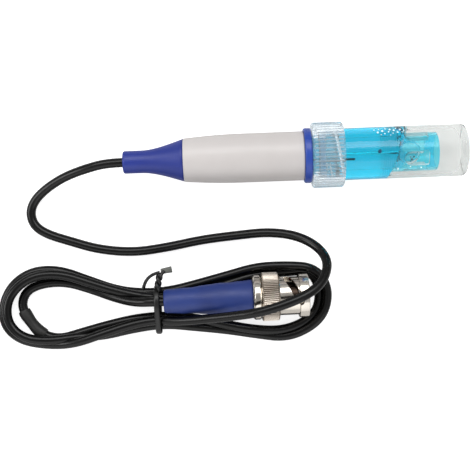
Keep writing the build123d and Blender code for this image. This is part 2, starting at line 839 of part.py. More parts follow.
# Wave spring: a split ring bent in waves between washer and shoulder
spring_r = (body_journal_d / 2 + nut_bore_d / 2) / 2
spring_swing = (spring_height - spring_strip) / 2
spring_middle = plug_station(s_washer_front + seat_gap + spring_height / 2)
spring_steps = 12 * spring_waves
spring_arc = 2 * math.pi - math.radians(spring_split)
crests = []
for step in range(spring_steps + 1):
    turn = spring_arc * step / spring_steps
    swing = spring_swing * math.cos(spring_waves * turn)
    crests.append((spring_r * math.cos(turn), spring_r * math.sin(turn), swing))
with BuildPart() as wave_spring:
    with BuildLine(spring_middle) as spring_path:
        Spline(*crests)
    strip_end = Plane(origin=spring_path.line @ 0, x_dir=spring_middle.x_dir, z_dir=spring_path.line % 0)
    with BuildSketch(strip_end):
        Rectangle(0.55 * (nut_bore_d - body_journal_d) / 2, spring_strip)
    sweep(path=spring_path.line)
wave_spring.part.label = "wave_spring"
export_step(wave_spring.part, "parts/wave_spring.step")

# Crimp ferrule round the barrel
ferrule_bore_r = barrel_d / 2 + seat_gap
with BuildPart() as crimp_ferrule:
    with BuildSketch(plug_station(s_back_nut - ferrule_length)):
        Circle(ferrule_bore_r + ferrule_wall)
        Circle(ferrule_bore_r, mode=Mode.SUBTRACT)
    extrude(amount=ferrule_length - seat_gap)
crimp_ferrule.part.label = "crimp_ferrule"
export_step(crimp_ferrule.part, "parts/crimp_ferrule.step")

# Sleeve over the ferrule and the cable's end, narrow at the cable
s_ferrule_back = s_back_nut - ferrule_length - seat_gap
with BuildPart() as connector_boot:
    with BuildSketch(plug_section):
        ferrule_seat = ferrule_bore_r + ferrule_wall + seat_gap
        with BuildLine():
            Polyline(
                (s_sleeve_back, cable_r + seat_gap),
                (s_sleeve_back, sleeve_tail_d / 2),
                (s_back_nut, sleeve_mouth_d / 2),
                (s_back_nut, ferrule_seat),
                (s_ferrule_back, ferrule_seat),
                (s_ferrule_back, cable_r + seat_gap),
                close=True,
            )
        make_face()
    revolve(axis=plug_axis)
    rims = connector_boot.edges().filter_by(GeomType.CIRCLE)
    fillet(rims.filter_by(lambda rim: rim.radius > ferrule_seat + sleeve_edge), radius=sleeve_edge)
connector_boot.part.label = "connector_boot"
export_step(connector_boot.part, "parts/connector_boot.step")

# Stripped end of the cable inside the plug
with BuildPart() as plug_cable_end:
    with BuildSketch(plug_section):
        with BuildLine():
            Polyline(
                (s_sleeve_back, 0),
                (s_sleeve_back, cable_r),
                (s_ferrule_back, cable_r),
                (s_ferrule_back, cable_core_d / 2),
                (s_bore_step, cable_core_d / 2),
                (s_bore_step, 0),
                close=True,
            )
        make_face()
    revolve(axis=plug_axis)
plug_cable_end.part.label = "plug_cable_end"
export_step(plug_cable_end.part, "parts/plug_cable_end.step")

# Hank: two layers of strands on the left and at the waist, one on the right
hank_edge = moved_outline(hank_rim, cable_r)
left_eye_edge = moved_outline(left_eye_turn, -cable_r)
right_eye_edge = moved_outline(right_eye_turn, -cable_r)
with BuildSketch() as hank_plan:
    with BuildLine():
        FilletPolyline(*hank_edge, radius=tangent_radii(hank_edge, closed=True), close=True)
    make_face()
    with BuildLine():
        FilletPolyline(*left_eye_edge, radius=tangent_radii(left_eye_edge, closed=True), close=True)
    make_face(mode=Mode.SUBTRACT)
    with BuildLine():
        FilletPolyline(*right_eye_edge, radius=tangent_radii(right_eye_edge, closed=True), close=True)
    make_face(mode=Mode.SUBTRACT)
hank_span = hank_plan.sketch.bounding_box()
with BuildPart() as cord_hank:
    add(hank_plan.sketch)
    extrude(amount=hank_layers * cable_d)
    with BuildSketch(Plane((0, 0, cable_d))):
        with Locations((hank_waist_x, 0)):
            Rectangle(
                hank_span.max.X - hank_waist_x + cable_d,
                -2 * hank_span.min.Y,
                align=(Align.MIN, Align.CENTER),
            )
    extrude(amount=hank_layers * cable_d, mode=Mode.SUBTRACT)
    with BuildSketch():
        with Locations((tie_x, 0)):
            Rectangle(tie_width + 2 * slide_gap, -2 * hank_span.min.Y)
    extrude(amount=tie_thickness + seat_gap, mode=Mode.SUBTRACT)
cord_hank.part.label = "cord_hank"
export_step(cord_hank.part, "parts/cord_hank.step")

# Cord from the boot to the hank, straight runs joined by tangent arcs
first_run = 5.0
cord_points = [(x_tail, 0, pen_z), (x_tail - first_run, 0, pen_z)] + cord_bends
cord_radii = tangent_radii(cord_points)
with BuildPart() as cord:
    with BuildLine() as cord_path:
        FilletPolyline(*cord_points, radius=cord_radii)
    with BuildSketch(Plane(origin=cord_path.line @ 0, z_dir=cord_path.line % 0)):
        Circle(cable_r)
    sweep(path=cord_path.line)
cord.part.label = "cord"
export_step(cord.part, "parts/cord.step")
cord_length = sum(edge.length for edge in cord_path.edges())
print("cord length", round(cord_length, 1))
print("cord radii", [round(radius, 1) for radius in cord_radii])
print("cord volume over section x length", cord.part.volume / (math.pi * cable_r**2 * cord_length))

# Cord from the hank to the plug's sleeve, in line with the plug where it enters
sleeve_entry = plug_centre + plug_forward * s_sleeve_back
last_run = 3.5
end_points = cord_end_bends + [tuple(sleeve_entry - plug_forward * last_run), tuple(sleeve_entry)]
end_radii = tangent_radii(end_points)
with BuildPart() as cord_end:
    with BuildLine() as end_path:
        FilletPolyline(*end_points, radius=end_radii)
    with BuildSketch(Plane(origin=end_path.line @ 0, z_dir=end_path.line % 0)):
        Circle(cable_r)
    sweep(path=end_path.line)
cord_end.part.label = "cord_end"
export_step(cord_end.part, "parts/cord_end.step")
end_length = sum(edge.length for edge in end_path.edges())
print("cord end length", round(end_length, 1))
print("cord end radii", [round(radius, 1) for radius in end_radii])
print("cord end volume over section x length", cord_end.part.volume / (math.pi * cable_r**2 * end_length))

# Short shrink sleeve on the inner turn of the left eye
shrink_height = shrink_d / 2
shrink_start = Vector(*shrink_from, shrink_height)
shrink_run = Vector(*shrink_to, shrink_height) - shrink_start
with BuildPart() as cable_sleeve:
    with BuildSketch(Plane(origin=shrink_start, z_dir=shrink_run.normalized())):
        Circle(shrink_d / 2)
        Circle(cable_r + seat_gap, mode=Mode.SUBTRACT)
    extrude(amount=shrink_run.length)
cable_sleeve.part.label = "cable_sleeve"
export_step(cable_sleeve.part, "parts/cable_sleeve.step")

# Twist tie: a flat band round the strands, its ends twisted together
with BuildPart() as twist_tie:
    with BuildSketch(Plane(origin=(tie_x, 0, 0), x_dir=(0, 1, 0), z_dir=(1, 0, 0))):
        with BuildLine():
            FilletPolyline(*tie_loop, radius=tie_bend, close=True)
        make_face()
        offset(amount=tie_thickness)
        with BuildLine():
            FilletPolyline(*tie_loop, radius=tie_bend, close=True)
        make_face(mode=Mode.SUBTRACT)
    extrude(amount=tie_width / 2, both=True)
    with BuildLine() as tail_path:
        FilletPolyline(*tie_tail, radius=tangent_radii(tie_tail))
    with BuildSketch(Plane(origin=tail_path.line @ 0, z_dir=tail_path.line % 0)):
        Circle(tie_tail_d / 2)
    sweep(path=tail_path.line)
twist_tie.part.label = "twist_tie"
export_step(twist_tie.part, "parts/twist_tie.step")
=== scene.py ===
import logging
import math
from dataclasses import dataclass, field
from enum import Enum
from typing import Callable, Sequence

import bmesh
import bpy
from mathutils import Matrix, Vector


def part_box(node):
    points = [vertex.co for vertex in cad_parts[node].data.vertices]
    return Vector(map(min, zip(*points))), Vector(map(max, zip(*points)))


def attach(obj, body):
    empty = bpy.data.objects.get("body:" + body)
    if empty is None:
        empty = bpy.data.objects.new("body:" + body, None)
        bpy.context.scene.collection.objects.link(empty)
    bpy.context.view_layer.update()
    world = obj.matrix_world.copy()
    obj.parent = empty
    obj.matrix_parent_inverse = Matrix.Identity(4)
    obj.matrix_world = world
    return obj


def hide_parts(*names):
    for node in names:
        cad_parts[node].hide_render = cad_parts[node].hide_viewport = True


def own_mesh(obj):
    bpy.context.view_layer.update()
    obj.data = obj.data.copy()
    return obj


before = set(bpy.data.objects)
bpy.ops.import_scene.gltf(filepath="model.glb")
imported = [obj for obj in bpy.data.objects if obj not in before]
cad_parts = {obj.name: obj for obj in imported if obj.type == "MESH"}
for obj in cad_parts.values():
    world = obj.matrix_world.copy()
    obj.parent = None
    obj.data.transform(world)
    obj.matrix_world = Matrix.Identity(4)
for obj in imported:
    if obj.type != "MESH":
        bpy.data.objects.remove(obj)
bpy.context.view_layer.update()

MM = 0.001  # sizes below are in millimetres, Blender's are in metres
FORWARD = Vector((1, 0, 0))
UP = Vector((0, 0, 1))
SHARP = 32.0  # smallest angle of an edge that stays sharp, in degrees
GAP = 0.05  # room between pieces that fit in one another
NEAR = 0.02  # how far apart two places may be that count as one
TUBE_RADIUS = 5.65

Pair = tuple[float, float]
Triple = tuple[float, float, float]
Line = tuple[Triple, ...]
Ball = tuple[float, float, float, float]
Radius = float | Callable[[float], float]
Mesh = bmesh.types.BMesh
Piece = bpy.types.Object
Material = bpy.types.Material
Tree = bpy.types.NodeTree
Node = bpy.types.Node
Socket = bpy.types.NodeSocket

log = logging.getLogger("ph_electrode")


class Body(Enum):
    """Rigid bodies of the frame that new pieces ride on."""

    ELECTRODE = "electrode"
    CAP = "cap"
    VIAL = "vial"
    NUT = "nut"


# Places in the frame


def span(node: str) -> Pair:
    """Return where a solid of the frame starts and ends along X."""
    low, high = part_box(node)
    return low.x / MM, high.x / MM


def axis_height() -> float:
    """Return the height of the electrode's axis, which is that of the bottle's cap."""
    low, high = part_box("bottle_cap")
    return (low.z + high.z) / 2 / MM


# Making meshes


@dataclass(frozen=True)
class Spindle:
    """Axis that round pieces are turned about, in millimetres.

    A turn is counted from up, towards forward x up.
    """

    origin: Vector
    forward: Vector
    up: Vector

    def place(self, along: float, radius: float, turn: float = 0.0) -> Vector:
        """Return the point, in metres, at a distance along, a radius out and a turn in radians.

        Args:
            along: distance along the axis in millimetres.
            radius: distance from the axis in millimetres.
            turn: turn about the axis in radians.

        Returns:
            The point in metres.
        """
        side = self.forward.cross(self.up)
        outward = self.up * math.cos(turn) + side * math.sin(turn)
        return (self.origin + self.forward * along + outward * radius) * MM

    def measure(self, place: Vector) -> Pair:
        """Return how far along and how far out a point is, given in metres.

        Args:
            place: the point in metres.

        Returns:
            How far along and how far out the point is, in millimetres.
        """
        away = place / MM - self.origin
        along = away.dot(self.forward)
        return along, (away - self.forward * along).length

    def out(self, place: Vector) -> float:
        """Return how far from the axis a point is, given in metres."""
        return self.measure(place)[1]


def eased(corners: Sequence[Triple], steps: int) -> list[Pair]:
    """Round the corners of an outline.

    Args:
        corners: (along, radius, easing) of each corner; an easing of 0 leaves it sharp.
        steps: points on each rounded corner.

    Returns:
        The outline's points as (along, radius).
    """
    outline: list[Pair] = []
    for here, (along, radius, easing) in enumerate(corners):
        corner = Vector((along, radius))
        if easing <= 0 or here in (0, len(corners) - 1):
            outline.append((along, radius))
            continue
        run_in = (corner - Vector(corners[here - 1][:2])).normalized()
        run_out = (Vector(corners[here + 1][:2]) - corner).normalized()
        half_turn = run_in.angle(run_out) / 2
        reach = easing * math.tan(half_turn)
        centre = corner + (run_out - run_in).normalized() * (easing / math.cos(half_turn))
        first = corner - run_in * reach - centre
        last = corner + run_out * reach - centre
        for step in range(steps + 1):
            point = centre + first.lerp(last, step / steps).normalized() * easing
            outline.append((point.x, point.y))
    return outline


def arc(centre: Pair, radius: float, first: float, last: float, steps: int) -> list[Pair]:
    """Return the points of an arc, both ends included, from one angle in radians to another."""
    angles = [first + (last - first) * step / steps for step in range(steps + 1)]
    return [(centre[0] + radius * math.cos(angle), centre[1] + radius * math.sin(angle)) for angle in angles]


def placed(name: str, data: bpy.types.ID) -> Piece:
    """Return a new object of some data, linked to the scene.

    Args:
        name: name of the new object.
        data: mesh, curve, camera or lamp.

    Returns:
        The new object.
    """
    piece = bpy.data.objects.new(name, data)
    bpy.context.scene.collection.objects.link(piece)
    return piece


def shade_smooth(bm: Mesh, sharp: float) -> None:
    """Shade a mesh smooth, except at open edges and at those sharper than an angle in degrees.

    Args:
        bm: the mesh.
        sharp: smallest angle of an edge that stays sharp, in degrees.
    """
    for face in bm.faces:
        face.smooth = True
    for edge in bm.edges:
        edge.smooth = len(edge.link_faces) == 2 and edge.calc_face_angle(math.pi) < math.radians(sharp)


def finished(name: str, bm: Mesh, sharp: float = SHARP) -> Piece:
    """Turn a bmesh into a linked object, smooth except at edges sharper than an angle.

    Args:
        name: name of the new piece.
        bm: the mesh, freed here.
        sharp: smallest angle of an edge that stays sharp, in degrees.

    Returns:
        The new object.
    """
    shade_smooth(bm, sharp)
    mesh = bpy.data.meshes.new(name)
    bm.to_mesh(mesh)
    bm.free()
    return placed(name, mesh)


def turn_into(
    bm: Mesh,
    spindle: Spindle,
    outline: Sequence[tuple[float, Radius]],
    segments: int,
    closed: bool = False,
    inward: bool = False,
) -> None:
    """Turn an outline about a spindle and add it to a bmesh.

    Args:
        bm: the mesh that the surface is added to.
        spindle: axis of the turned piece.
        outline: (along, radius) pairs; a radius may be a function of the turn. The outline runs
            forward on the outside and back on the inside.
        segments: faces round the axis.
        closed: whether the last point joins the first.
        inward: whether the faces look at the axis side instead.
    """
    rings = []
    for along, radius in outline:
        if not callable(radius) and radius <= 1e-6:
            rings.append([bm.verts.new(spindle.place(along, 0.0))] * segments)
            continue
        ring = []
        for step in range(segments):
            turn = 2 * math.pi * step / segments
            out = radius(turn) if callable(radius) else radius
            ring.append(bm.verts.new(spindle.place(along, out, turn)))
        rings.append(ring)
    pairs = list(zip(rings, rings[1:]))
    if closed:
        pairs.append((rings[-1], rings[0]))
    for back, front in pairs:
        for step in range(segments):
            following = (step + 1) % segments
            corners = [back[step], back[following], front[following], front[step]]
            corners = [v for i, v in enumerate(corners) if v not in corners[:i]]
            if len(corners) > 2:
                bm.faces.new(corners[::-1] if inward else corners)


def turned(
    name: str,
    spindle: Spindle,
    outline: Sequence[tuple[float, Radius]],
    segments: int,
    closed: bool = False,
) -> Piece:
    """Return a new piece turned from one outline; see turn_into.

    Args:
        name: name of the new piece.
        spindle: axis of the turned piece.
        outline: (along, radius) pairs.
        segments: faces round the axis.
        closed: whether the last point joins the first.

    Returns:
        The new piece.
    """
    bm = bmesh.new()
    turn_into(bm, spindle, outline, segments, closed)
    return finished(name, bm)


def sweep_into(
    bm: Mesh,
    path: Sequence[Vector],
    section: Sequence[Pair],
    up: Vector,
    closed: bool = False,
    swell: Callable[[float], float] = lambda share: 1.0,
) -> None:
    """Sweep a section along a path and add it to a bmesh.

    Args:
        bm: the mesh that the surface is added to.
        path: points in metres.
        section: (across, up) points in metres, anticlockwise when seen against the path.
        up: rough direction of the section's second axis at the path's start.
        closed: whether the path is a loop.
        swell: size of the section at a share of the path.
    """
    count = len(path)
    rings = []
    level = up
    for here in range(count):
        before = path[here - 1] if closed or here else path[0]
        after = path[(here + 1) % count] if closed or here < count - 1 else path[-1]
        ahead = (after - before).normalized()
        level = (level - ahead * level.dot(ahead)).normalized()
        across = level.cross(ahead)
        size = swell(here / (count - 1))
        rings.append([bm.verts.new(path[here] + (across * a + level * b) * size) for a, b in section])
    pairs = list(zip(rings, rings[1:]))
    if closed:
        pairs.append((rings[-1], rings[0]))
    for back, front in pairs:
        for side in range(len(section)):
            other = (side + 1) % len(section)
            bm.faces.new((back[side], front[side], front[other], back[other]))
    if not closed:
        bm.faces.new(rings[0])
        bm.faces.new(rings[-1][::-1])


def swept(
    name: str,
    path: Sequence[Vector],
    section: Sequence[Pair],
    up: Vector,
    swell: Callable[[float], float] = lambda share: 1.0,
) -> Piece:
    """Return a new piece swept along one path; see sweep_into.

    Args:
        name: name of the new piece.
        path: points in metres.
        section: (across, up) points in metres.
        up: rough direction of the section's second axis at the path's start.
        swell: size of the section at a share of the path.

    Returns:
        The new piece.
    """
    bm = bmesh.new()
    sweep_into(bm, path, section, up, swell=swell)
    bmesh.ops.recalc_face_normals(bm, faces=bm.faces)
    return finished(name, bm, sharp=50.0)


def round_section(radius: float, count: int, flat: float = 1.0) -> list[Pair]:
    """Return a round or flattened section, in metres, from a radius in millimetres."""
    angles = [2 * math.pi * step / count for step in range(count)]
    return [(math.cos(a) * radius * MM, math.sin(a) * radius * flat * MM) for a in angles]


def prism(
    name: str, near: Sequence[Vector], far: Sequence[Vector], ends: Sequence[Sequence[int]] = ()
) -> Piece:
    """Make a closed shape between two outlines that have as many points.

    Args:
        name: name of the shape.
        near: points of the first outline in metres.
        far: points of the second outline in metres.
        ends: the outline's points in each face that closes an end; by default one face has them all.

    Returns:
        The new object.
    """
    bm = bmesh.new()
    first, last = ([bm.verts.new(place) for place in outline] for outline in (near, far))
    count = len(first)
    for here in range(count):
        other = (here + 1) % count
        bm.faces.new((first[here], first[other], last[other], last[here]))
    for end in ends or [range(count)]:
        bm.faces.new([last[point] for point in end])
        bm.faces.new([first[point] for point in reversed(end)])
    bmesh.ops.recalc_face_normals(bm, faces=bm.faces)
    return finished(name, bm)


def built(piece: Piece) -> bpy.types.Mesh:
    """Return a new mesh of a piece as its modifiers or its curve shape it."""
    bpy.context.view_layer.update()
    return bpy.data.meshes.new_from_object(piece.evaluated_get(bpy.context.evaluated_depsgraph_get()))


def cut(piece: Piece, cutters: Sequence[Piece]) -> None:
    """Cut each cutter's shape out of a piece, in place, and remove the cutters.

    Args:
        piece: the piece that is cut.
        cutters: the shapes that are cut out.
    """
    for cutter in cutters:
        modifier = piece.modifiers.new("cut", "BOOLEAN")
        modifier.operation = "DIFFERENCE"
        modifier.solver = "EXACT"
        modifier.object = cutter
    mesh = built(piece)
    piece.modifiers.clear()
    bm = bmesh.new()
    bm.from_mesh(mesh)
    bmesh.ops.remove_doubles(bm, verts=bm.verts, dist=1e-7)
    shade_smooth(bm, SHARP)
    bm.to_mesh(mesh)
    bm.free()
    old, piece.data = piece.data, mesh
    bpy.data.meshes.remove(old)
    for cutter in cutters:
        bpy.data.objects.remove(cutter)


def smooth_line(points: Sequence[Triple], name: str, closed: bool = False) -> Piece:
    """Make a curve object of one smooth spline.

    Args:
        points: control points in millimetres.
        name: name of the curve.
        closed: whether the line is a loop.

    Returns:
        The curve's object.
    """
    curve = bpy.data.curves.new(name, "CURVE")
    curve.dimensions = "3D"
    spline = curve.splines.new("NURBS")
    spline.points.add(len(points) - 1)
    for point, place in zip(spline.points, points):
        point.co = (place[0] * MM, place[1] * MM, place[2] * MM, 1.0)
    spline.order_u = 3
    spline.use_endpoint_u = not closed
    spline.use_cyclic_u = closed
    spline.resolution_u = 10
    curve.resolution_u = 10
    return placed(name, curve)


def line_points(piece: Piece) -> list[Vector]:
    """Return the points, in metres, that a curve with no bevel follows.

    Args:
        piece: the curve's object.

    Returns:
        The points in metres.
    """
    mesh = built(piece)
    points = [vertex.co.copy() for vertex in mesh.vertices]
    bpy.data.meshes.remove(mesh)
    return points


def traced(points: Sequence[Triple], closed: bool = False) -> list[Vector]:
    """Return the points, in metres, of a smooth line that isn't kept.

    Args:
        points: control points in millimetres.
        closed: whether the last point joins the first.

    Returns:
        The points in metres.
    """
    line = smooth_line(points, "line", closed)
    followed = line_points(line)
    bpy.data.objects.remove(line)
    return followed


# Finishes


def tone(red: float, green: float, blue: float) -> tuple[float, float, float, float]:
    """Return Blender's linear colour of a display colour given as 0 to 255.

    Args:
        red: red, 0 to 255.
        green: green, 0 to 255.
        blue: blue, 0 to 255.

    Returns:
        Blender's linear colour.
    """

    def linear(value: float) -> float:
        """Return one channel as linear light."""
        value /= 255
        return value / 12.92 if value <= 0.04045 else ((value + 0.055) / 1.055) ** 2.4

    return (linear(red), linear(green), linear(blue), 1.0)


def grey(level: float) -> tuple[float, float, float, float]:
    """Return a grey as Blender's linear colour."""
    return (level, level, level, 1.0)


def fill_in(node: Node, values: dict[str | int, object]) -> Node:
    """Set a node's inputs, or link them where a value is another node's output, and return it.

    Args:
        node: the node.
        values: value or socket for each input.

    Returns:
        The same node.
    """
    for label, value in values.items():
        if isinstance(value, Socket):
            node.id_data.links.new(value, node.inputs[label])
        else:
            node.inputs[label].default_value = value
    return node


def new_effect(name: str, inputs: dict[str, float], outputs: Sequence[str]) -> tuple[Tree, Node, Node]:
    """Start a node group.

    Args:
        name: name of the group.
        inputs: name and value of each number that goes in.
        outputs: name of each number that comes out.

    Returns:
        The group's tree, its input node and its output node.
    """
    tree = bpy.data.node_groups.new(name, "ShaderNodeTree")
    for label, value in inputs.items():
        socket = tree.interface.new_socket(label, in_out="INPUT", socket_type="NodeSocketFloat")
        socket.default_value = value
    for label in outputs:
        tree.interface.new_socket(label, in_out="OUTPUT", socket_type="NodeSocketFloat")
    return tree, tree.nodes.new("NodeGroupInput"), tree.nodes.new("NodeGroupOutput")


def noise(tree: Tree, scale: float | Socket, detail: float = 3.0, rough: float = 0.55) -> Socket:
    """Add a noise texture that follows the object's own coordinates and return its values.

    Args:
        tree: the node tree.
        scale: fineness of the noise.
        detail: layers of the noise.
        rough: weight of the finer layers.

    Returns:
        The noise's values.
    """
    place = tree.nodes.new("ShaderNodeTexCoord").outputs["Object"]
    texture = tree.nodes.new("ShaderNodeTexNoise")
    fill_in(texture, {"Vector": place, "Scale": scale, "Detail": detail, "Roughness": rough})
    return texture.outputs["Fac"]


def ranged(tree: Tree, source: Socket, limits: Pair, low: float | Socket, high: float | Socket) -> Socket:
    """Add a Map Range node and return its result; the two limits go to low and high.

    Args:
        tree: the node tree.
        source: the value that is mapped.
        limits: the values that go to low and high.
        low: result at the first limit.
        high: result at the second limit.

    Returns:
        The mapped value.
    """
    node = tree.nodes.new("ShaderNodeMapRange")
    first, last = limits
    fill_in(node, {"Value": source, "From Min": first, "From Max": last, "To Min": low, "To Max": high})
    return node.outputs["Result"]


def mixed(tree: Tree, factor: Socket, first: object, second: object) -> Socket:
    """Add a node that mixes two colours, each a value or a socket, and return its result.

    Args:
        tree: the node tree.
        factor: socket that is 0 for the first colour, 1 for the second.
        first: first colour.
        second: second colour.

    Returns:
        The mixed colour.
    """
    mix = tree.nodes.new("ShaderNodeMix")
    mix.data_type = "RGBA"
    return fill_in(mix, {"Factor": factor, "A": first, "B": second}).outputs["Result"]


def worked_out(tree: Tree, operation: str, *values: float | Socket) -> Socket:
    """Add a Math node and return its result.

    Args:
        tree: the node tree.
        operation: name of the operation.
        values: value or socket for each input.

    Returns:
        The result of the operation.
    """
    node = tree.nodes.new("ShaderNodeMath")
    node.operation = operation
    return fill_in(node, dict(enumerate(values))).outputs[0]


def grain_effect() -> Tree:
    """Build the fine relief and slow colour drift of a moulded surface.

    Returns:
        The effect's node group.
    """
    tree, given, result = new_effect("moulded_grain", {"Fineness": 2500.0}, ["Relief", "Drift"])
    fine = noise(tree, given.outputs["Fineness"])
    slow = noise(tree, 110.0, detail=2.0)
    fill_in(result, {"Relief": fine, "Drift": ranged(tree, slow, (0.3, 0.7), 0.0, 1.0)})
    return tree


def handling_effect() -> Tree:
    """Build the uneven gloss that wiping and handling leave.

    Returns:
        The effect's node group.
    """
    tree, given, result = new_effect("handling", {"Low": 0.1, "High": 0.3}, ["Roughness"])
    patches = noise(tree, 160.0, detail=6.0, rough=0.62)
    gloss = ranged(tree, patches, (0.32, 0.72), given.outputs["Low"], given.outputs["High"])
    fill_in(result, {"Roughness": gloss})
    return tree


GRAIN = grain_effect()
HANDLING = handling_effect()


@dataclass(frozen=True)
class Finish:
    """A surface finish that has a name, a display colour and a range of roughness."""

    name: str
    colour: Triple
    smooth: float
    dull: float

    def start(self) -> tuple[Material, Node]:
        """Make the material with its uneven gloss.

        Returns:
            The material and its main shader.
        """
        material = bpy.data.materials.new(self.name)
        material.use_nodes = True
        shader = material.node_tree.nodes["Principled BSDF"]
        gloss = self.add_effect(shader, HANDLING, {"Low": self.smooth, "High": self.dull})
        fill_in(shader, {"Base Color": tone(*self.colour), "Roughness": gloss.outputs["Roughness"]})
        return material, shader

    def add_effect(self, shader: Node, effect: Tree, values: dict[str, float]) -> Node:
        """Place an effect beside the main shader, with its own values, and return its node.

        Args:
            shader: the material's main shader.
            effect: the effect's node group.
            values: value of each of the effect's inputs.

        Returns:
            The effect's node.
        """
        node = shader.id_data.nodes.new("ShaderNodeGroup")
        node.node_tree = effect
        return fill_in(node, values)

    def roughen(self, shader: Node, fineness: float, depth: float) -> Socket:
        """Give the surface its fine relief.

        Args:
            shader: the material's main shader.
            fineness: scale of the relief.
            depth: height of the relief in metres.

        Returns:
            The slow drift that goes with the relief, from 0 to 1.
        """
        grain = self.add_effect(shader, GRAIN, {"Fineness": fineness})
        bump = shader.id_data.nodes.new("ShaderNodeBump")
        fill_in(bump, {"Height": grain.outputs["Relief"], "Distance": depth, "Strength": 1.0})
        fill_in(shader, {"Normal": bump.outputs["Normal"]})
        return grain.outputs["Drift"]

    def shade(self, shader: Node, drift: Socket, other: Triple) -> None:
        """Let the colour drift from the finish's own towards another display colour."""
        fill_in(shader, {"Base Color": mixed(shader.id_data, drift, tone(*self.colour), tone(*other))})

    def gleam(self, shader: Node, glow: float, coat: float, coat_roughness: float) -> None:
        """Give the surface a faint painted light in its own colour, a glow though it is no lamp, and a glossy
        coat.
        """
        fill_in(shader, {
            "Emission Color": tone(*self.colour), "Emission Strength": glow,
            "Coat Weight": coat, "Coat Roughness": coat_roughness,
        })

    def build(self) -> Material:
        """Return the finished material."""
        return self.start()[0]


@dataclass(frozen=True)
class Moulded(Finish):
    """Opaque moulded plastic or rubber."""

    drift: Triple
    fineness: float = 2600.0
    depth: float = 0.00001
    coat: float = 0.0
    level: float = 0.5
    glow: float = 0.0

    def build(self) -> Material:
        """Return the finished material.

        Returns:
            The material.
        """
        material, shader = self.start()
        self.shade(shader, self.roughen(shader, self.fineness, self.depth), self.drift)
        self.gleam(shader, self.glow, self.coat, coat_roughness=0.08)
        fill_in(shader, {"Specular IOR Level": self.level})
        return material


@dataclass(frozen=True)
class Clear(Finish):
    """Clear or tinted plastic, glass or liquid."""

    ior: float
    fineness: float = 300.0
    depth: float = 0.000002
    coat: float = 0.0
    glow: float = 0.0

    def build(self) -> Material:
        """Return the finished material.

        Returns:
            The material.
        """
        material, shader = self.start()
        self.roughen(shader, self.fineness, self.depth)
        self.gleam(shader, self.glow, self.coat, coat_roughness=0.12)
        fill_in(shader, {"Transmission Weight": 1.0, "IOR": self.ior})
        return material


@dataclass(frozen=True)
class Frosted(Clear):
    """Clear plastic that is hazy, so that some light stays on it."""

    haze: float = 0.6

    def build(self) -> Material:
        """Return the finished material.

        Returns:
            The material.
        """
        material = super().build()
        fill_in(material.node_tree.nodes["Principled BSDF"], {"Transmission Weight": 1.0 - self.haze})
        return material


@dataclass(frozen=True)
class Plated(Finish):
    """Bright plated or drawn metal."""

    drift: Triple
    fineness: float = 1800.0
    depth: float = 0.0000015

    def build(self) -> Material:
        """Return the finished material.

        Returns:
            The material.
        """
        material, shader = self.start()
        self.shade(shader, self.roughen(shader, self.fineness, self.depth), self.drift)
        fill_in(shader, {"Metallic": 1.0})
        return material


def made(finish: Finish) -> Material:
    """Return a field whose material is built when the set of finishes is."""
    return field(default_factory=finish.build)


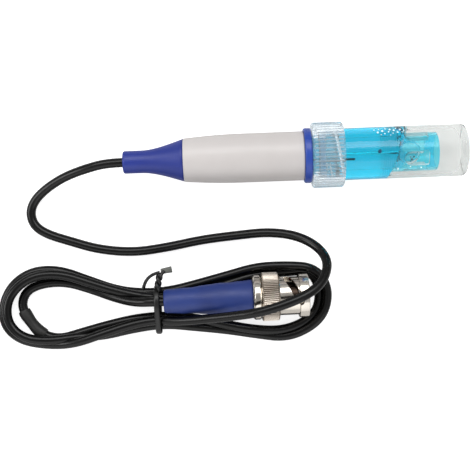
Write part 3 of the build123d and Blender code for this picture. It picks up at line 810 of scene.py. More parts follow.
@dataclass(frozen=True)
class Finishes:
    """Every material of the object, built once."""

    boot: Material = made(Moulded("boot_rubber", (31, 48, 134), 0.34, 0.5, drift=(36, 54, 144)))
    handle: Material = made(Moulded(
        "handle_plastic", (210, 205, 203), 0.36, 0.42, drift=(206, 201, 199), coat=0.08
    ))
    collar: Material = made(Moulded("collar_plastic", (38, 68, 160), 0.22, 0.34, drift=(44, 78, 176)))
    tube: Material = made(Clear("tube_plastic", (20, 208, 243), 0.0, 0.05, ior=1.3))
    # The guard's faint glow is painted light.
    guard: Material = made(Clear("guard_plastic", (104, 226, 246), 0.0, 0.05, ior=1.18, coat=1.0, glow=0.06))
    # Hazy near-white walls of the windows: painted highlights on the cut edges.
    window_edge_painted_highlight: Material = made(Frosted("window_edge_painted_highlight", (226, 250, 254), 0.1, 0.3, ior=1.18, haze=0.8))
    frit: Material = made(Moulded("frit_ceramic", (18, 84, 120), 0.6, 0.8, drift=(24, 96, 132)))
    glass: Material = made(Clear("bulb_glass", (236, 250, 253), 0.0, 0.03, ior=1.2))
    stem: Material = made(Clear("stem_glass", (244, 252, 254), 0.0, 0.03, ior=1.02))
    resin: Material = made(Moulded("potting_resin", (46, 48, 52), 0.5, 0.7, drift=(56, 58, 60)))
    silver: Material = made(Plated("silver_wire_metal", (205, 205, 200), 0.15, 0.3, drift=(225, 225, 222)))
    dark_wire: Material = made(Moulded("dark_wire_coat", (26, 34, 48), 0.35, 0.5, drift=(34, 44, 60)))
    seal: Material = made(Clear("seal_rubber", (250, 254, 254), 0.0, 0.1, ior=1.02))
    seal_crest: Material = made(Frosted("seal_crest", (84, 202, 232), 0.2, 0.4, ior=1.02, haze=0.3))
    # The cap's faint glow is painted light.
    cap: Material = made(Frosted(
        "cap_plastic", (222, 230, 234), 0.05, 0.18, ior=1.14, coat=0.3, glow=0.07, haze=0.05
    ))
    # Hazy whitish rib crests: painted highlight lines on the clear ribs.
    cap_crest_painted_highlight: Material = made(Frosted("cap_crest_painted_highlight", (200, 208, 214), 0.25, 0.4, ior=1.16, haze=0.46))
    thread: Material = made(Clear("thread_plastic", (250, 251, 252), 0.08, 0.2, ior=1.2))
    # Opaque white flanks of the thread: painted highlights on the clear ridges.
    thread_flank_painted_highlight: Material = made(Moulded("thread_flank_painted_highlight", (236, 242, 246), 0.3, 0.45, drift=(226, 236, 242)))
    # Air bubbles as opaque white balls with a coat and a glow: painted glints.
    painted_glint_bubble: Material = made(Moulded(
        "bubble_painted_glint", (236, 250, 254), 0.1, 0.2, drift=(206, 240, 250), coat=1.0, glow=0.55
    ))
    # Drops on the guard as opaque dark balls: painted shade.
    drop: Material = made(Moulded("drop_painted_shade", (10, 74, 96), 0.05, 0.15, drift=(16, 96, 120), coat=1.0))
    ring: Material = made(Clear("ring_silicone", (214, 228, 240), 0.2, 0.35, ior=1.15))
    vial: Material = made(Clear("vial_plastic", (238, 240, 240), 0.0, 0.04, ior=1.4))
    vial_front: Material = made(Clear("vial_front", (208, 210, 208), 0.0, 0.06, ior=1.06, coat=0.1))
    vial_inside: Material = made(Clear("vial_inside", (254, 254, 254), 0.0, 0.06, ior=1.06))
    cable: Material = made(Moulded(
        "cable_jacket", (3, 3, 3), 0.2, 0.3, drift=(6, 6, 6), fineness=3200.0, level=0.36
    ))
    # Dark metal for the plug body inside the nut: painted shade seen through the slots.
    inner_metal_painted_shade: Material = made(Plated("inner_metal_painted_shade", (58, 48, 42), 0.2, 0.34, drift=(70, 58, 50)))
    knurl: Material = made(Plated("knurl_nickel", (250, 242, 230), 0.36, 0.46, drift=(246, 236, 224)))
    # The knurl's grooves take a darker copy of the nickel: painted shade in the recesses.
    knurl_groove_painted_shade: Material = made(Plated("knurl_groove_painted_shade", (150, 138, 126), 0.36, 0.46, drift=(140, 128, 116)))
    nickel: Material = made(Plated("nickel_plating", (238, 230, 218), 0.06, 0.22, drift=(222, 216, 208)))
    dielectric: Material = made(Moulded(
        "dielectric_white", (228, 228, 222), 0.4, 0.55, drift=(220, 220, 213)
    ))
    gold: Material = made(Plated("pin_plating", (214, 176, 96), 0.12, 0.28, drift=(226, 192, 120)))
    gasket: Material = made(Moulded("gasket_rubber", (150, 62, 44), 0.5, 0.65, drift=(138, 56, 40)))
    spring: Material = made(Plated("spring_steel", (150, 150, 150), 0.2, 0.36, drift=(170, 170, 170)))
    sleeve: Material = made(Moulded(
        "sleeve_rubber", (30, 50, 116), 0.4, 0.58, drift=(38, 60, 130), depth=0.00003
    ))
    shrink: Material = made(Moulded(
        "shrink_tube", (22, 22, 21), 0.45, 0.62, drift=(28, 28, 26), depth=0.00002
    ))
    tie: Material = made(Moulded("tie_plastic", (16, 16, 16), 0.26, 0.44, drift=(24, 24, 24), depth=0.00003))
    tie_tip: Material = made(Moulded("tie_tip", (104, 106, 100), 0.4, 0.6, drift=(70, 72, 68), depth=0.00003))


def dress(piece: Piece, finish: Material, slot: str, body: Body, *nodes: str) -> None:
    """Finish a new piece and give it its place in the frame.

    Args:
        piece: the new piece.
        finish: its material.
        slot: name of a material slot of the record; not used.
        body: the body that it rides on.
        nodes: the solids that it stands for.
    """
    piece.data.materials.clear()
    piece.data.materials.append(finish)
    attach(piece, body.value)
    if nodes:
        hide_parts(*nodes)
    log.info("%s rides on %s and stands for %s", piece.name, body.value, ", ".join(nodes) or "nothing")


def accent(piece: Piece, finish: Material, chosen: Callable[[Vector], bool]) -> None:
    """Give another finish to the faces of a dressed piece whose middle passes a test.

    Args:
        piece: the dressed piece.
        finish: the material.
        chosen: tells of the middle of a face whether the face is meant.
    """
    piece.data.materials.append(finish)
    for face in piece.data.polygons:
        if chosen(face.center):
            face.material_index = len(piece.data.materials) - 1


def dress_node(node: str, finish: Material) -> None:
    """Give a solid of the frame a better material.

    Args:
        node: name of the solid.
        finish: the material.
    """
    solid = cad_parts[node]
    solid.data.materials.clear()
    solid.data.materials.append(finish)
    log.info("%s keeps its solid", node)


# Cable


@dataclass
class Cable:
    """The coax cable: from the boot over the bench, across the plug, round the hank and into the plug."""

    diameter: float = 2.8
    first_run: float = 5.0
    last_run: float = 3.5
    shrink_diameter: float = 3.6
    shrink_length: float = 10.5
    shrink_after: float = 0.8  # share of the line that comes before the shrink sleeve
    shrink_reach: int = 40  # points of the line that are looked at on either side of its middle
    # Control points, in millimetres. The lead starts at the boot's tail.
    lead: Line = (
        (-61.8, -1.3, 8.4), (-68.4, -3.2, 6.0), (-74.0, -6.0, 3.7), (-78.4, -9.4, 2.1), (-80.4, -13.3, 1.4),
        (-79.3, -17.6, 1.4), (-75.2, -20.4, 1.4), (-69.0, -22.5, 1.4), (-60.0, -25.5, 1.4), (-49.2, -26.8, 1.4),
        (-38.8, -25.6, 1.4), (-28.3, -23.7, 1.4), (-18.0, -22.8, 1.4), (-8.2, -22.1, 2.4), (0.4, -23.5, 4.6),
        (6.6, -27.2, 8.0), (9.0, -31.9, 12.0), (6.5, -37.5, 16.3), (1.2, -40.9, 19.3), (-5.5, -43.3, 20.0),
        (-12.5, -45.2, 18.7), (-20.0, -46.2, 15.2), (-27.7, -47.0, 11.6), (-34.4, -47.6, 8.3),
        (-39.3, -47.6, 6.4), (-43.4, -47.3, 5.4),
    )
    first_left: Line = (
        (-50.9, -48.5, 4.5), (-58.9, -50.8, 5.4), (-67.8, -53.6, 4.6), (-76.4, -54.0, 1.5), (-84.9, -52.2, 1.4),
        (-89.6, -47.4, 1.4), (-89.6, -40.7, 1.4), (-86.1, -34.7, 1.4), (-79.8, -31.2, 1.4), (-71.9, -31.3, 1.4),
        (-63.5, -34.7, 1.4), (-54.5, -38.2, 1.4), (-46.0, -39.3, 1.7),
    )
    first_right: Line = (
        (-38.0, -38.8, 1.7), (-29.5, -36.9, 1.4), (-20.8, -34.8, 1.4), (-12.3, -32.6, 2.6), (-3.8, -32.4, 3.8),
        (5.2, -33.2, 3.9), (9.3, -39.0, 3.3), (8.5, -46.4, 3.0), (4.1, -51.4, 1.9), (-3.9, -54.5, 1.4),
        (-13.0, -53.0, 1.4), (-22.1, -51.3, 1.4), (-31.2, -50.1, 1.6),
    )
    second_left: Line = (
        (-40.8, -48.8, 2.0), (-50.7, -50.0, 1.5), (-59.3, -51.8, 1.4), (-66.3, -51.7, 2.2), (-75.2, -52.5, 4.6),
        (-83.0, -51.5, 4.6), (-87.7, -46.9, 4.3), (-87.9, -40.6, 4.3), (-84.5, -35.6, 4.3), (-78.7, -32.5, 4.3),
        (-70.8, -32.5, 4.2), (-62.5, -35.5, 4.3), (-54.2, -38.4, 4.3), (-45.8, -40.4, 4.0),
    )
    second_right: Line = (
        (-38.1, -41.0, 2.6), (-29.5, -39.5, 1.4), (-20.9, -37.3, 1.4), (-12.3, -34.9, 1.4), (-3.8, -34.5, 1.3),
        (4.1, -34.2, 1.4), (7.0, -39.5, 1.4), (6.1, -46.3, 1.4), (1.6, -50.2, 1.4), (-5.4, -52.2, 2.2),
        (-13.6, -51.4, 4.0), (-22.0, -49.6, 3.6), (-31.1, -47.4, 1.8),
    )
    third_left: Line = (
        (-40.7, -46.3, 2.0), (-50.0, -47.0, 1.4), (-58.5, -48.7, 1.4), (-66.5, -50.7, 1.4), (-72.7, -52.3, 1.7),
        (-78.1, -50.6, 2.0), (-81.6, -46.2, 2.0), (-84.0, -41.8, 1.8), (-82.5, -37.3, 1.4), (-77.5, -35.2, 1.4),
        (-70.2, -35.0, 1.4), (-62.4, -37.6, 1.4), (-55.6, -40.2, 3.2), (-49.2, -41.7, 6.2),
    )

    def make(self, finishes: Finishes, plug: "Plug") -> None:
        """Build the cable and its shrink sleeve.

        Args:
            finishes: the materials.
            plug: the plug that the cable ends in.
        """
        x_tail, _ = span("strain_relief_boot")
        start = (x_tail, 0.0, axis_height())
        entry = plug.spindle.place(plug.sleeve_back, 0.0) / MM
        before = plug.spindle.place(plug.sleeve_back - self.last_run, 0.0) / MM
        route = [start, (x_tail - self.first_run, *start[1:]), *self.lead]
        route += [*self.first_left, *self.first_right, *self.second_left, *self.second_right]
        route += [*self.third_left, tuple(before), tuple(entry)]
        cable = smooth_line(route, "coax_cable")
        points = line_points(cable)
        cable.data.bevel_depth = self.diameter / 2 * MM
        cable.data.bevel_resolution = 5
        cable.data.use_fill_caps = True
        dress(cable, finishes.cable, "cable_jacket", Body.ELECTRODE, "cord", "cord_hank", "cord_end")
        self.make_shrink_sleeve(points, finishes)

    def make_shrink_sleeve(self, points: Sequence[Vector], finishes: Finishes) -> None:
        """Put the short sleeve on the inner turn of the left eye.

        Args:
            points: the cable's line in metres.
            finishes: the materials.
        """
        low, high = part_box("cable_sleeve")
        middle = (low + high) / 2
        late = range(int(len(points) * self.shrink_after), len(points))
        nearest = min(late, key=lambda i: (points[i] - middle).length)
        half = self.shrink_length / 2 * MM
        around = points[nearest - self.shrink_reach : nearest + self.shrink_reach]
        stretch = [point for point in around if (point - points[nearest]).length < half]
        sleeve = swept(
            "shrink_sleeve", stretch, round_section(self.shrink_diameter / 2, 24), UP,
            swell=lambda share: 1.0 + 0.05 * math.sin(share * 9.0) - 0.05 * (abs(share - 0.5) > 0.46),
        )
        dress(sleeve, finishes.shrink, "shrink_tube", Body.ELECTRODE, "cable_sleeve")


# Twist tie


@dataclass
class TwistTie:
    """The black wire tie: a flat band round the strands and its two ends twisted together."""

    place: float = -42.2
    width: float = 1.6
    thickness: float = 0.6
    strand_radius: float = 0.56
    strand_offset: float = 0.52
    strand_turns: float = 1.1
    loose_radius: float = 0.5
    loose_flatness: float = 0.7
    tip_radius: float = 0.85
    tip_flatness: float = 0.45
    tip_back: Triple = (-1.1, -0.1, 0.2)
    tip_front: Triple = (2.2, 0.35, -0.3)
    band: tuple[Pair, ...] = (
        (-44.0, 0.35), (-50.0, 0.35), (-51.4, 1.2), (-51.5, 4.6), (-50.2, 7.2), (-47.6, 8.2), (-44.8, 9.6),
        (-42.6, 10.3), (-40.4, 10.2), (-38.2, 8.8), (-36.9, 6.0), (-36.7, 2.0), (-38.2, 0.4), (-41.0, 0.35),
    )
    twist_from: Triple = (-41.9, -38.0, 9.2)
    twist_to: Triple = (-41.1, -34.0, 9.2)
    tip: Triple = (-39.6, -32.5, 8.4)
    loose: Line = (
        (-46.3, -38.0, 6.6), (-45.8, -36.2, 8.2), (-44.4, -34.3, 9.2), (-42.6, -33.2, 9.4), (-41.0, -32.9, 8.9),
    )

    def make(self, finishes: Finishes) -> None:
        """Build the band, the twisted ends, the loose end and the flat tip.

        Args:
            finishes: the materials of the object.
        """
        path = traced([(self.place, y, z) for y, z in self.band], closed=True)
        section = round_section(self.width / 2, 12, self.thickness / self.width)
        bm = bmesh.new()
        sweep_into(bm, path, section, UP, closed=True)
        start, end, tip = (Vector(p) * MM for p in (self.twist_from, self.twist_to, self.tip))
        ahead = (end - start).normalized()
        across = ahead.cross(UP).normalized()
        level = across.cross(ahead)
        for phase in (0.0, math.pi):
            strand = []
            for step in range(25):
                share = step / 24
                turn = phase + share * self.strand_turns * 2 * math.pi
                aside = (across * math.cos(turn) + level * math.sin(turn)) * self.strand_offset * MM
                strand.append(start.lerp(end, share) + aside)
            strand += [end.lerp(tip, share) for share in (0.4, 0.7, 0.95)]
            sweep_into(bm, strand, round_section(self.strand_radius, 10), UP)
        sweep_into(bm, traced(self.loose), round_section(self.loose_radius, 10, self.loose_flatness), UP)
        bmesh.ops.recalc_face_normals(bm, faces=bm.faces)
        tie = finished("wire_tie", bm, sharp=60.0)
        dress(tie, finishes.tie, "tie_plastic", Body.ELECTRODE, "twist_tie")
        flat = swept(
            "wire_tie_tip", [tip + Vector(self.tip_back) * MM, tip, tip + Vector(self.tip_front) * MM],
            round_section(self.tip_radius, 14, self.tip_flatness), UP, swell=lambda share: 0.9 + 0.25 * share,
        )
        dress(flat, finishes.tie_tip, "tie_plastic", Body.ELECTRODE)


# Electrode


@dataclass
class Electrode:
    """Boot, handle, collar, guarded tube and glass bulb."""

    boot_tail_radius: float = 3.35
    boot_mouth_radius: float = 6.3
    boot_tail_length: float = 5.6
    flare_dip: float = 0.24
    flare_powers: Pair = (1.75, 3.4)
    bore_radius: float = 1.45
    handle_tail_radius: float = 6.4
    handle_radius: float = 7.25
    handle_taper: float = 18.0
    collar_radius: float = 8.1
    tube_radius: float = TUBE_RADIUS
    tube_wall: float = 1.0
    guard_ring: float = 2.9
    windows: int = 4
    window_width: float = 4.3
    window_length: float = 7.2
    window_turn: float = 27.0
    window_corner: Pair = (0.15, 0.5)
    window_cut: Pair = (2.0, 9.0)  # from and to which radius the windows' cutters reach
    window_margin: Pair = (1.0, 0.1)  # how far along and how far out a window's wall is from other faces
    stem_radius: float = 2.6
    stem_wall: float = 0.7
    bulb_radius: float = 3.6
    bulb_wall: float = 0.45
    gel_end: float = 30.3
    gel_slant: float = 0.41
    seal_lips: int = 8
    seal_lip_depth: float = 0.3
    seal_lip: tuple[float, ...] = (0.3, 0.42, 0.58, 0.7)  # shares of the pitch where a lip rises and falls

    def __post_init__(self) -> None:
        """Read the places along the electrode from the frame."""
        self.spindle = Spindle(Vector((0, 0, axis_height())), FORWARD, UP)
        self.x_tail, _ = span("strain_relief_boot")
        self.x_seam, self.x_head_front = span("head_shell")
        _, self.x_stop = span("stop_collar")
        self.x_tube_back, self.x_tube_end = span("electrode_tube")
        self.x_stem_back, self.x_bulb_tip = span("glass_stem")
        self.x_seal_back, self.x_seal_front = span("bulb_seal")

    def make(self, finishes: Finishes) -> None:
        """Build and dress every piece of the electrode.

        Args:
            finishes: the materials of the object.
        """
        self.make_boot(finishes)
        self.make_handle(finishes)
        self.make_tube(finishes)
        self.make_glass(finishes)
        self.make_seal(finishes)
        for node, finish in (
            ("potting_plug", finishes.resin),
            ("silver_wire", finishes.silver),
            ("reference_wire", finishes.dark_wire),
            ("junction_frit", finishes.frit),
            ("cable_end", finishes.cable),
        ):
            dress_node(node, finish)

    def make_boot(self, finishes: Finishes) -> None:
        """Build the flared boot.

        Args:
            finishes: the materials of the object.
        """
        x_flare = self.x_tail + self.boot_tail_length
        run = self.x_seam - x_flare
        rise = self.boot_mouth_radius - self.boot_tail_radius
        early, late = self.flare_powers
        flare = []
        for step in range(1, 15):
            share = step / 14
            height = (1 + self.flare_dip) * share**early - self.flare_dip * share**late
            flare.append((x_flare + run * share, self.boot_tail_radius + rise * height))
        tail = [
            (self.x_tail, self.bore_radius, 0.0), (self.x_tail, self.boot_tail_radius, 0.6),
            (x_flare, self.boot_tail_radius, 0.0),
        ]
        outline = [*eased(tail, 6), *flare, (self.x_seam, self.bore_radius)]
        boot = turned("relief_boot", self.spindle, outline, 144, closed=True)
        dress(boot, finishes.boot, "boot_rubber", Body.ELECTRODE, "strain_relief_boot")

    def make_handle(self, finishes: Finishes) -> None:
        """Build the handle with its slow taper, and the collar in front of it.

        Args:
            finishes: the materials of the object.
        """
        taper = []
        for step in range(12):
            share = step / 12
            drop = (self.handle_radius - self.handle_tail_radius) * (1 - share) ** 2
            easing = 0.0 if step else 0.3
            taper.append((self.x_seam + self.handle_taper * share, self.handle_radius - drop, easing))
        corners = [(self.x_seam, self.tube_radius, 0.0), *taper]
        corners += [
            (self.x_seam + self.handle_taper, self.handle_radius, 0.0),
            (self.x_head_front, self.handle_radius, 0.35), (self.x_head_front, self.tube_radius, 0.0),
        ]
        handle = turned("handle_shell", self.spindle, eased(corners, 4), 144, closed=True)
        dress(handle, finishes.handle, "handle_plastic", Body.ELECTRODE, "head_shell")
        corners = [
            (self.x_head_front, self.tube_radius + GAP, 0.0), (self.x_head_front, self.collar_radius, 0.5),
            (self.x_stop, self.collar_radius, 0.5), (self.x_stop, self.tube_radius + GAP, 0.0),
        ]
        collar = turned("blue_collar", self.spindle, eased(corners, 6), 144, closed=True)
        dress(collar, finishes.collar, "collar_plastic", Body.ELECTRODE, "stop_collar")

    def make_tube(self, finishes: Finishes) -> None:
        """Build the blue tube, filled with its gel up to the seal, and cut the guard's windows.

        Args:
            finishes: the materials of the object.
        """
        bore = self.tube_radius - self.tube_wall
        corners = [
            (self.x_tube_back, 0.0, 0.0), (self.x_tube_back, self.tube_radius, 0.0),
            (self.gel_end, self.tube_radius, 0.0), (self.x_tube_end, self.tube_radius, 0.45),
            (self.x_tube_end, bore, 0.2), (self.gel_end, bore, 0.0), (self.gel_end, 0.0, 0.0),
        ]
        tube = turned("guard_tube", self.spindle, eased(corners, 5), 160)
        for vertex in tube.data.vertices:
            if abs(vertex.co.x / MM - self.gel_end) < NEAR:
                vertex.co.x += vertex.co.y * self.gel_slant
        cut(tube, [self.window_cutter(window) for window in range(self.windows)])
        dress(tube, finishes.tube, "tube_plastic", Body.ELECTRODE, "electrode_tube")
        x_clear = (self.gel_end - NEAR) * MM
        rim, skin = self.window_margin
        accent(tube, finishes.guard, lambda place: place.x - place.y * self.gel_slant > x_clear)

        def on_window_edge(place: Vector) -> bool:
            """Return whether a place lies on the wall that a window was cut through."""
            along, out = self.spindle.measure(place)
            return bore + skin < out < self.tube_radius - skin and along < self.x_tube_end - rim

        # The windows' walls take a hazy near-white finish: painted highlights.
        accent(tube, finishes.window_edge_painted_highlight, on_window_edge)

    def window_cutter(self, window: int) -> Piece:
        """Return the shape, arched towards the handle, that a window takes out of the guard.

        Args:
            window: number of the window, from 0.

        Returns:
            The cutter.
        """
        x_base = self.x_tube_end - self.guard_ring
        x_arch = x_base - self.window_length + self.window_width / 2
        half = self.window_width / 2
        small, large = self.window_corner
        outline = [(x_base, -half + large), (x_base - small, -half + small), (x_base - large, -half)]
        outline += arc((x_arch, 0.0), half, -math.pi / 2, -1.5 * math.pi, 24)
        outline += [(x_base - large, half), (x_base - small, half - small), (x_base, half - large)]
        turn = math.radians(self.window_turn + 360 / self.windows * window)
        outward = UP * math.cos(turn) + FORWARD.cross(UP) * math.sin(turn)
        across = FORWARD.cross(outward)
        near, far = (
            [(self.spindle.origin + outward * out + FORWARD * x + across * w) * MM for x, w in outline]
            for out in self.window_cut
        )
        return prism("window_cutter", near, far)

    def make_glass(self, finishes: Finishes) -> None:
        """Build the stem, filled with its own liquid, and the thin blown bulb.

        Args:
            finishes: the materials of the object.
        """
        centre = self.x_bulb_tip - self.bulb_radius
        hollow = self.bulb_radius - self.bulb_wall
        bore = self.stem_radius - self.stem_wall
        neck = math.pi - math.asin(self.stem_radius / self.bulb_radius)
        inner_neck = math.pi - math.asin(bore / hollow)
        outer = [(self.x_stem_back, 0.0), (self.x_stem_back, self.stem_radius)]
        outer += [(self.x_seal_front, self.stem_radius), *arc((centre, 0.0), self.bulb_radius, neck, 0.0, 24)]
        inner = arc((centre, 0.0), hollow, 0.0, inner_neck, 24)
        inner += [(centre - hollow, bore), (centre - hollow, 0.0)]
        bm = bmesh.new()
        turn_into(bm, self.spindle, outer, 96)
        turn_into(bm, self.spindle, inner, 96)
        bulb = finished("glass_bulb", bm)
        dress(bulb, finishes.glass, "bulb_glass", Body.ELECTRODE, "glass_stem")
        accent(bulb, finishes.stem, lambda place: place.x < self.x_seal_front * MM)

    def make_seal(self, finishes: Finishes) -> None:
        """Build the soft seal between tube and stem with its fine lips.

        Args:
            finishes: the materials of the object.
        """
        back, front = self.x_seal_back, self.x_seal_front
        crest = self.tube_radius - self.tube_wall - GAP
        root = crest - self.seal_lip_depth
        pitch = (front - back) / self.seal_lips
        outline: list[Pair] = [(back, self.stem_radius + GAP)]
        for lip in range(self.seal_lips):
            along = back + pitch * lip
            places = [along, *(along + pitch * share for share in self.seal_lip)]
            outline += zip(places, (root, root, crest, crest, root))
        outline += [(front, root), (front, self.stem_radius + GAP)]
        seal = turned("lipped_seal", self.spindle, outline, 96, closed=True)
        dress(seal, finishes.seal, "seal_rubber", Body.ELECTRODE, "bulb_seal")
        accent(seal, finishes.seal_crest, lambda place: self.spindle.out(place) > crest - NEAR)


# Storage bottle


@dataclass
class Bottle:
    """Ribbed clear cap, clear vial with its thread, and the liquid in it."""

    cap_radius: float = 9.65
    ribs: int = 48
    rib_depth: float = 0.36
    cap_edge: float = 0.5
    roof: float = 1.8
    cap_bore: float = 8.05
    roof_bore: float = 5.85
    vial_radius: float = 7.65
    vial_bore: float = 6.55
    vial_floor: float = 2.2
    vial_edge: float = 1.2
    floor_edge: float = 1.6
    floor_margin: float = 0.1
    neck_radius: float = 7.15
    neck_reach: float = 0.15
    crest_radius: float = 7.95
    thread_lead: float = 7.7
    thread_width: float = 1.2
    thread_start: float = 25.0
    thread_steps: int = 110
    ridge_sink: float = 0.1
    ridge_flat: float = 0.4  # share of a ridge's width that its crest takes
    ridge_shoulder: Pair = (0.55, 0.06)  # the shoulder's share of the width, and its drop below the crest
    ridge_fades: float = 12.0  # how many times as long as its fading end a ridge is
    # The sides of each ridge listed next take an opaque white finish: painted highlights.
    painted_highlight_sides: tuple[tuple[int, int], ...] = ((0, 4), (2, 4))  # sides of each ridge that show white
    inner_radius: float = TUBE_RADIUS + 0.1
    liquid_top: float = 22.9
    liquid_slant: float = 5.4
    # Air bubbles in the liquid, white glowing balls that are painted glints, and drops on the guard: along,
    # aside and above the axis, and radius.
    bubbles: tuple[Ball, ...] = (
        (30.0, -5.0, 3.3, 0.3), (33.6, -4.6, 3.9, 0.2), (36.8, -4.9, 3.6, 0.22), (23.6, 5.7, 2.2, 0.18),
        (24.5, 5.1, 3.4, 0.32), (25.0, 5.8, 1.9, 0.2), (25.9, 5.4, 2.8, 0.34), (26.5, 4.7, 3.9, 0.2),
        (26.9, 5.9, 1.7, 0.26), (27.7, 5.2, 3.2, 0.24), (28.2, 5.7, 2.2, 0.34), (28.9, 4.8, 3.8, 0.18),
        (29.3, 5.5, 2.6, 0.3), (30.0, 5.9, 1.7, 0.2), (30.3, 5.0, 3.4, 0.26), (31.1, 5.6, 2.4, 0.32),
        (31.6, 5.0, 3.5, 0.16), (25.4, 4.5, 4.2, 0.16), (28.1, 4.3, 4.4, 0.14), (32.2, 5.4, 2.6, 0.2),
    )
    # Drops on the guard, drawn dark: painted shade.
    drops: tuple[Ball, ...] = (
        (33.9, -2.6, 5.1, 0.36), (34.5, -1.9, 5.4, 0.28), (33.5, -1.9, 5.4, 0.2), (35.0, -1.2, 5.6, 0.16),
        (33.6, -3.1, 4.8, 0.2), (35.4, -0.7, 5.65, 0.14),
    )

    def __post_init__(self) -> None:
        """Read the places along the bottle from the frame."""
        self.spindle = Spindle(Vector((0, 0, axis_height())), FORWARD, UP)
        self.x_cap_back, self.x_cap_front = span("bottle_cap")
        self.x_rim, self.x_end = span("storage_vial")
        self.x_neck_end = self.x_cap_front + self.neck_reach

    def make(self, finishes: Finishes) -> None:
        """Build and dress every piece of the bottle.

        Args:
            finishes: the materials of the object.
        """
        self.make_cap(finishes)
        self.make_vial(finishes)
        self.make_thread(finishes)
        dress_node("seal_ring", finishes.ring)

    def ribbed(self, inset: float) -> Callable[[float], float]:
        """Return the cap's outer radius as a function of the turn, drawn in by inset.

        Args:
            inset: how far the radius is drawn in, in millimetres.

        Returns:
            The radius as a function of the turn.
        """

        def radius(turn: float) -> float:
            """Return the radius at a turn.

            Args:
                turn: turn about the axis in radians.

            Returns:
                The radius in millimetres.
            """
            pitch = 2 * math.pi / self.ribs
            off = abs(turn % pitch - pitch / 2)
            reach = off * self.cap_radius
            groove = math.sqrt(max(self.rib_depth**2 - reach**2, 0.0))
            return min(self.cap_radius - groove, self.cap_radius - inset)

        return radius

    def make_cap(self, finishes: Finishes) -> None:
        """Build the ribbed cap, open to the vial, with a hole for the tube in its roof.

        Args:
            finishes: the materials of the object.
        """
        back, front, edge = self.x_cap_back, self.x_cap_front, self.cap_edge
        outline: list[tuple[float, Radius]] = [(back, self.roof_bore)]
        rounding = [(edge * (1 - share) ** 1.4, self.ribbed(edge * share)) for share in (1.0, 0.6, 0.3, 0.0)]
        outline += [(back + along, radius) for along, radius in rounding]
        outline += [(front - along, radius) for along, radius in rounding[::-1]]
        x_roof = back + self.roof
        outline += [(front, self.cap_bore), (x_roof, self.cap_bore), (x_roof, self.roof_bore)]
        cap = turned("ribbed_cap", self.spindle, outline, self.ribs * 12, closed=True)
        dress(cap, finishes.cap, "cap_plastic", Body.CAP, "bottle_cap")
        crest = self.cap_radius - NEAR
        # The rib crests take a hazy whitish finish: painted highlights.
        accent(cap, finishes.cap_crest_painted_highlight, lambda place: self.spindle.out(place) > crest)

    def make_vial(self, finishes: Finishes) -> None:
        """Build the vial and its liquid as one clear body, hollow where there is air.

        Args:
            finishes: the materials of the object.
        """
        bm = bmesh.new()
        x_floor = self.x_end - self.vial_floor
        x_free = self.x_end - self.liquid_top
        outer = [
            (self.x_rim, self.inner_radius, 0.0), (self.x_rim, self.neck_radius, 0.2),
            (self.x_neck_end, self.neck_radius, 0.0), (self.x_neck_end, self.vial_radius, 0.2),
            (x_free, self.vial_radius, 0.0), (self.x_end, self.vial_radius, self.vial_edge),
            (self.x_end, 0.0, 0.0),
        ]
        turn_into(bm, self.spindle, eased(outer, 7), 144)
        hollow = [
            (x_free, self.inner_radius, 0.0), (x_free, self.vial_bore, 0.0),
            (x_floor, self.vial_bore, self.floor_edge), (x_floor, 0.0, 0.0),
        ]
        turn_into(bm, self.spindle, eased(hollow, 7), 144, inward=True)
        for vertex in bm.verts:
            if abs(vertex.co.x / MM - x_free) < NEAR:
                vertex.co.x += self.liquid_slant * (vertex.co.y / MM / self.vial_bore + 1) / 2 * MM
        vial = finished("vial_and_liquid", bm)
        dress(vial, finishes.vial, "vial_plastic", Body.VIAL, "storage_vial", "storage_solution")
        slope = self.liquid_slant / 2 / self.vial_bore
        x_level = (x_free + self.liquid_slant / 2 + NEAR) * MM

        def in_front(place: Vector) -> bool:
            """Return whether a place lies beyond the liquid's slanted end."""
            return place.x - place.y * slope > x_level

        def inside(place: Vector) -> bool:
            """Return whether a place lies on the bore's wall beyond the liquid's end."""
            along, out = self.spindle.measure(place)
            return in_front(place) and out < self.vial_bore + NEAR and along < x_floor + self.floor_margin

        accent(vial, finishes.vial_front, in_front)
        accent(vial, finishes.vial_inside, inside)
        self.make_bubbles(finishes)

    def make_bubbles(self, finishes: Finishes) -> None:
        """Put the small air bubbles in the liquid, as painted glints, and the drops that cling to the guard, as
        painted shade.

        Args:
            finishes: the materials of the object.
        """
        for name, balls, finish, body in (
            ("air_bubbles", self.bubbles, finishes.painted_glint_bubble, Body.VIAL),
            ("clinging_drops", self.drops, finishes.drop, Body.ELECTRODE),
        ):
            bm = bmesh.new()
            for along, aside, height, radius in balls:
                middle = Matrix.Translation(Vector((along, aside, self.spindle.origin.z + height)) * MM)
                bmesh.ops.create_icosphere(bm, subdivisions=2, radius=radius * MM, matrix=middle)
            dress(finished(name, bm), finish, "vial_plastic", body)

